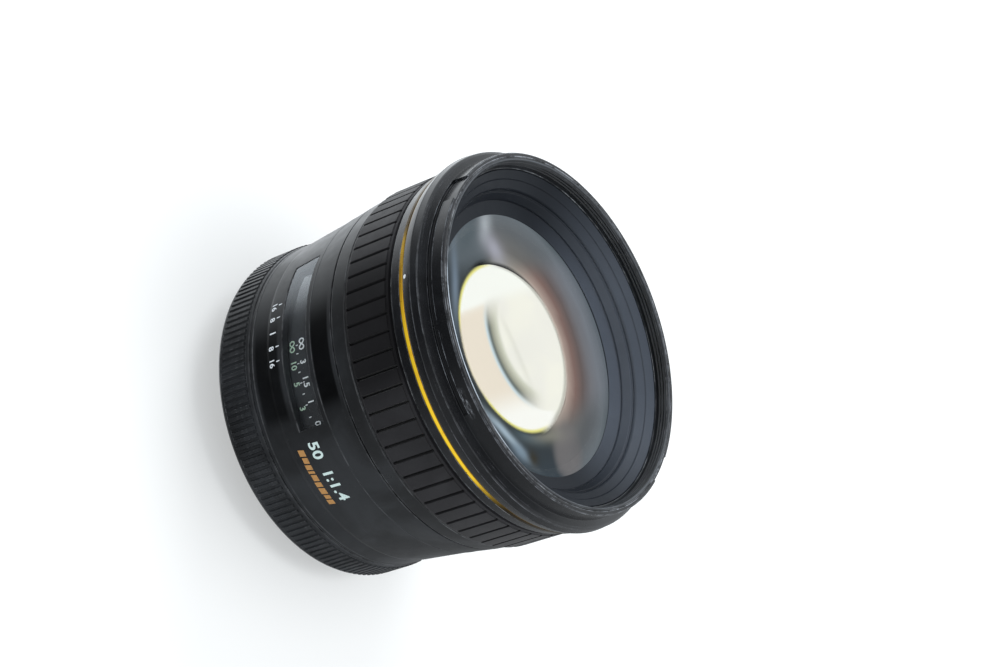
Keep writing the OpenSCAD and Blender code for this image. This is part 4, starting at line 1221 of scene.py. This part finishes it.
# =====================================================================
# front shell: band, hood groove, notched hood flange
# =====================================================================
FRONT_BAND = [(35.2, 55.02), (40.6, 55.02), (40.85, 55.2), (41.2, 57.5), (40.9, 57.6),
              (40.9, 58.84), (41.55, 58.9), (41.95, 60.0), (42.22, 61.0), (42.25, 61.15),
              (42.19, 61.35), (42.05, 62.9), (41.9, 63.1), (41.45, 63.4), (40.15, 63.95)]
GROOVE_FOOT = [(40.15, 64.05), (39.6, 64.05)]
GROOVE_HEAD = [(39.6, 65.25), (40.15, 65.25)]
NOTCH_CUT = [(39.6, 65.0), (39.7, 65.0), (39.7, 68.16)]
FLANGE_LIP = [(40.15, 67.95), (39.95, 68.15)]
FRONT_INSIDE = [(39.6, 68.18), (39.15, 68.18), (39.15, 56.8), (35.2, 56.8)]
GOLD_PROFILE = [(40.94, 57.64), (41.32, 57.64), (41.5, 57.85), (41.52, 58.6), (41.4, 58.8),
                (40.94, 58.8)]
DOT_ANGLE, DOT_RADIUS = -92.8, 0.52


def build_front_shell():
    plain, groove, notch = (
        rounded(FRONT_BAND + middle + FRONT_INSIDE, 0.10)
        for middle in (FLANGE_LIP, GROOVE_FOOT + GROOVE_HEAD + FLANGE_LIP,
                       GROOVE_FOOT + NOTCH_CUT))
    piece = Piece()
    for half in (0, 180):
        for profile, start, end in ((plain, -49, 49), (groove, -118.6, -49),
                                    (notch, -130.6, -118.6), (groove, -131, -130.6)):
            piece.lathe(profile, start + half, end + half)
    piece.finish("front_shell", "barrel", FRONT, replaces="front_barrel",
                 slot="front_band_plastic")


def build_hood_dot():
    """Domed white alignment dot on the band."""
    turn = math.radians(DOT_ANGLE)
    normal = Vector((math.cos(turn) * 0.95, math.sin(turn) * 0.95, -0.30)).normalized()
    tangent = Vector((-math.sin(turn), math.cos(turn), 0))
    upward = normal.cross(tangent)
    centre = Vector(around(41.80, turn, 59.6))
    size = 20
    rings = ((0.45, 0.095), (0.8, 0.06), (1.0, -0.05))       # (share of the radius, height)
    points = [(0, 0, 0.10)]
    for share, height in rings:
        points += [around(DOT_RADIUS * share, 2 * math.pi * k / size, height)
                   for k in range(size)]
    verts = [tuple(centre + tangent * a + upward * b + normal * c) for a, b, c in points]
    Piece().add(verts, disc_faces(size, len(rings))).finish("hood_dot", "barrel", WHITE)


build_front_shell()
Piece().lathe(rounded(GOLD_PROFILE, 0.14)).finish(
    "gold_trim", "barrel", GOLD, replaces="gold_ring", slot="gold_anodised")
build_hood_dot()


# =====================================================================
# front tube with the filter thread, funnel ring, cell
# =====================================================================
FRONT_Z = 68.2
THREAD_START, THREAD_END = 65.32, 67.78
THREAD_PITCH, THREAD_DEPTH, THREAD_ROOT = 0.75, 0.20, 38.20
THREAD_ROWS = 56
TUBE_PROFILE = [(37.5, 57.35), (39.1, 57.35), (39.1, FRONT_Z - 0.1), (39.0, FRONT_Z),
                (38.5, FRONT_Z), (38.22, FRONT_Z - 0.4), (38.22, 65.3), (37.5, 65.3)]
RIM_LINE = [(38.44, FRONT_Z - 0.03, 1.0), (38.52, FRONT_Z + 0.018, 1.0),
            (38.70, FRONT_Z + 0.022, 1.0), (38.78, FRONT_Z - 0.02, 1.0)]
FUNNEL_PROFILE = [(29.3, 58.25), (32.55, 58.25), (32.55, 58.85), (37.45, 58.85),
                  (37.45, 65.1), (37.2, 65.15), (35.6, 64.05), (35.5, 63.75), (33.9, 62.65),
                  (33.7, 62.2), (33.7, 61.8), (33.3, 61.6), (32.6, 60.4), (32.3, 59.9),
                  (32.3, 59.4), (31.3, 59.1), (29.9, 58.65), (29.3, 58.5)]
# The cell and the glass are measured in their own frame, set back along the axis.
CELL_SHIFT = -2.2
CELL_PROFILE = [(19.0, 37.25), (27.95, 37.25), (27.95, 55.25), (32.1, 55.25), (32.1, 59.5),
                (37.45, 59.5), (37.45, 61.0), (32.6, 61.0), (32.6, 60.3), (30.05, 60.3),
                (30.05, 57.05), (27.6, 57.05), (24.05, 50.5), (24.05, 38.1), (19.0, 38.1)]


def add_thread(piece):
    """Inside screw thread with run-outs at both ends."""
    rows = THREAD_ROWS
    verts, faces, edges = [], [], []
    for k in range(SEGMENTS + 1):
        turn = 2 * math.pi * k / SEGMENTS
        for j in range(rows + 1):
            z = THREAD_START + (THREAD_END - THREAD_START) * j / rows
            phase = (z / THREAD_PITCH - turn / (2 * math.pi)) % 1.0
            crest = min(1.0, max(0.0, (1 - abs(2 * phase - 1) - 0.12) / 0.76))
            run_out = max(0.0, min(1.0, (z - THREAD_START) / 0.25, (THREAD_END - z) / 0.2))
            verts.append(around(THREAD_ROOT - THREAD_DEPTH * crest * run_out, turn, z))
            edges.append(max(0.0, crest - 0.7) * 1.2 * run_out)
    for k in range(SEGMENTS):
        for j in range(rows):
            base = k * (rows + 1) + j
            faces.append((base, base + 1, base + rows + 2, base + rows + 1))
    piece.add(verts, faces, edges)


def build_front_tube():
    piece = Piece().lathe(rounded(TUBE_PROFILE, 0.06))
    add_thread(piece)
    piece.strip(RIM_LINE, slot=1)
    piece.finish("front_tube_threaded", "optical_block", TUBE, RIM_PAINTED_HIGHLIGHT, replaces="front_tube",
                 slot="inner_black")


build_front_tube()
Piece().lathe(rounded(FUNNEL_PROFILE, 0.35)).finish(
    "funnel_ring", "optical_block", BAFFLE, replaces="front_baffle", slot="inner_black")
Piece().lathe(rounded([(r, z + CELL_SHIFT) for r, z in CELL_PROFILE], 0.08)).finish(
    "front_cell_turned", "optical_block", CELL, replaces="front_cell", slot="inner_black")


# =====================================================================
# glass
# =====================================================================
NO_LIMIT = math.inf
# Front to back: rim radius; z on the axis, radius of curvature and highest z of the
# front face; z on the axis, radius of curvature and lowest z of the rear face; coatings.
# A positive radius has its centre behind the face.
ELEMENTS = [
    (30, 65.8, 80, NO_LIMIT, 58.4, -350, 56.9, COAT_FRONT, COAT_GREEN),
    (24, 57.6, 38, NO_LIMIT, 48.8, -140, 46.5, COAT_MAUVE, COAT_BLUE),
    (24, 48.77, 140, NO_LIMIT, 46.6, -24.5, 38.2, COAT_BLUE, COAT_AMBER),
    # the fourth element's front face carries the painted glow instead of a coating
    (15, 26.5, -22, 32.4, 24.93, -45, 22.0, GLOW, COAT_MAUVE),
    (15, 24.9, 45, NO_LIMIT, 17.0, 30, -NO_LIMIT, COAT_BLUE, COAT_AMBER),
    (16, 16.5, 160, NO_LIMIT, 12.6, 60, -NO_LIMIT, COAT_GREEN, COAT_BLUE),
    (16, 12.2, -70, 14.0, 9.9, -100, 8.4, COAT_MAUVE, COAT_GREEN),
    (16, 9.3, 55, NO_LIMIT, 3.6, 300, -NO_LIMIT, COAT_BLUE, COAT_GREEN)]
ELEMENT_RINGS = 28


def sag(curve, x):
    """Signed depth of a spherical face at distance x from the axis."""
    return math.copysign(abs(curve) - math.sqrt(curve * curve - x * x), curve)


def build_element(number, rim, front_z, front_curve, highest, rear_z, rear_curve, lowest,
                  front_coat, rear_coat):
    def front(x):
        return min(highest, front_z - sag(front_curve, x)) + CELL_SHIFT

    def rear(x):
        # the rear radius of curvature is positive when the face domes towards the mount's side
        return max(lowest, rear_z + sag(rear_curve, x)) + CELL_SHIFT

    stations = [rim * math.sin(math.pi / 2 * i / ELEMENT_RINGS)
                for i in range(ELEMENT_RINGS + 1)]
    segments = SEGMENTS // 2
    piece = Piece()
    piece.strip([(x, front(x), 0.0) for x in stations[::-1]], slot=0, segments=segments)
    piece.strip([(x, rear(x), 0.0) for x in stations], slot=1, segments=segments)
    piece.strip([(rim, rear(rim), 0.0), (rim, front(rim), 0.0)], slot=2, segments=segments)
    piece.finish("element_%d" % number, "optical_block", front_coat, rear_coat, GLASS_EDGE,
                 replaces="lens_%d" % number, slot="coated_glass", angle=30)


for number, element in enumerate(ELEMENTS, 1):
    build_element(number, *element)


# =====================================================================
# floor, world, lights
# =====================================================================
def floor_material():
    """Pale floor, lifted by a little light of its own."""
    mat = new_shader("floor_white")
    point = mat.point()
    blotches = mat.noise(point, scale=0.05, detail=4)
    shade = mat.mix(blotches, (0.50, 0.505, 0.505), (0.47, 0.475, 0.475), amount=0.02)
    normal = mat.bump(mat.noise(point, scale=0.8), strength=0.05, distance=0.00005)
    matt = mat.principled(shade, 0.6, normal, spec=0.15)
    light = mat.node("ShaderNodeEmission", Color=(0.985, 0.995, 0.99), Strength=0.385)
    return mat.finish(mat.node("ShaderNodeAddShader", matt, light))


def build_floor():
    size = 64
    radii = [60, 120, 250, 600, 1500, 6000, 40000]
    z = (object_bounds()[0].z - 0.00002) / MM     # just under the lowest point
    verts = [(0, 0, z)]
    for radius in radii:
        verts += [around(radius, 2 * math.pi * k / size, z) for k in range(size)]
    floor = mesh_object("floor", verts, disc_faces(size, len(radii)), [floor_material()])
    floor.visible_glossy = False


def build_world():
    """Separate surroundings for camera, glossy and other rays."""
    world = bpy.data.worlds.new("studio")
    scene.world = world
    sky = Shader(world, "ShaderNodeOutputWorld")
    glossy_ray, camera_ray = (sky.node("ShaderNodeLightPath").outputs[name]
                              for name in ("Is Glossy Ray", "Is Camera Ray"))
    place = sky.node("ShaderNodeTexCoord").outputs["Generated"]
    height = sky.axes(sky.vector("NORMALIZE", place))[2]

    def lobe(azimuth, elevation, inner, outer):
        """1 within inner degrees of a direction, 0 beyond outer degrees."""
        turn, tilt = math.radians(azimuth), math.radians(elevation)
        direction = around(math.cos(tilt), turn, math.sin(tilt))
        closeness = sky.dot(sky.vector("NORMALIZE", place), direction)
        return sky.fade(closeness, math.cos(math.radians(outer)), math.cos(math.radians(inner)))

    # pale backdrop at the horizon, dim ceiling
    glossy = sky.lerp(sky.fade(height, -0.30, -0.02), 0.34, 0.95)
    glossy = sky.lerp(sky.fade(height, 0.56, 0.76), glossy, 0.17)
    # pale wall that the far side of the barrel mirrors, dark part towards -Y
    glossy = sky.lerp(lobe(azimuth=160, elevation=-30, inner=18, outer=52), glossy, 1.45)
    glossy = sky.lerp(lobe(azimuth=-98, elevation=-45, inner=16, outer=42), glossy, 0.05)
    diffuse = sky.lerp(sky.fade(height, -0.15, 0.45), 0.75, 1.0)
    room = sky.node("ShaderNodeBackground", Color=(0.92, 0.965, 1.0),
                    Strength=sky.lerp(glossy_ray, diffuse, glossy))
    backdrop = sky.node("ShaderNodeBackground", Color=(0.955, 0.965, 0.965), Strength=1.0)
    sky.finish(sky.blend(camera_ray, room, backdrop))


def soft_light(name, location, size, power, colour=(1, 1, 1)):
    """Disc light aimed at the middle of the lens; all in metres and watts."""
    light = bpy.data.lights.new(name, "AREA")
    light.shape = "DISK"
    light.size = size
    light.energy = power
    light.color = colour
    obj = bpy.data.objects.new(name, light)
    scene.collection.objects.link(obj)
    obj.location = location
    obj.rotation_mode = "QUATERNION"
    aim = Vector((0, 0, 0.03)) - Vector(location)
    obj.rotation_quaternion = aim.to_track_quat("-Z", "Y")
    obj.visible_camera = False
    obj.visible_glossy = False


build_floor()
build_world()
soft_light("soft_left", (-0.55, 0.10, 0.55), size=0.45, power=3.0, colour=(0.95, 0.98, 1.0))
soft_light("soft_top", (0.15, 0.15, 0.9), size=0.6, power=4.0)


# =====================================================================
# camera
#
# The pose is given in the camera's axes: x right, y down, z forward.
# =====================================================================
FOCAL_LENGTH = 88.78572
LENS_ORIGIN = np.array((-39.617, 18.856, 561.623))       # mm
LENS_AXIS = np.array((0.77975, -0.28216, -0.55891))      # the lens's +Z
CROSS_FIRST = np.array((0.58258, 0.0, 0.81277))          # two directions across the axis
CROSS_SECOND = np.array((-0.22933, -0.95937, 0.16438))
X_ANGLE = -107                            # the lens's +X, from the first to the second


def build_camera():
    def across(angle):
        turn = math.radians(angle)
        return math.cos(turn) * CROSS_FIRST + math.sin(turn) * CROSS_SECOND

    rotation = np.array((across(X_ANGLE), across(X_ANGLE + 90), LENS_AXIS))
    position = -(rotation @ LENS_ORIGIN) * MM
    right, down, forward = rotation.T
    data = bpy.data.cameras.new("camera")
    data.sensor_width = 36.0
    data.lens = FOCAL_LENGTH
    data.clip_start = 0.01
    data.clip_end = 60
    camera = bpy.data.objects.new("camera", data)
    scene.collection.objects.link(camera)
    rows = [(right[i], -down[i], -forward[i], position[i]) for i in range(3)]
    camera.matrix_world = Matrix((*rows, (0, 0, 0, 1)))
    scene.camera = camera


build_camera()
scene.view_settings.view_transform = "Standard"
scene.view_settings.look = "None"
scene.view_settings.exposure = 0.0
scene.view_settings.gamma = 1.0
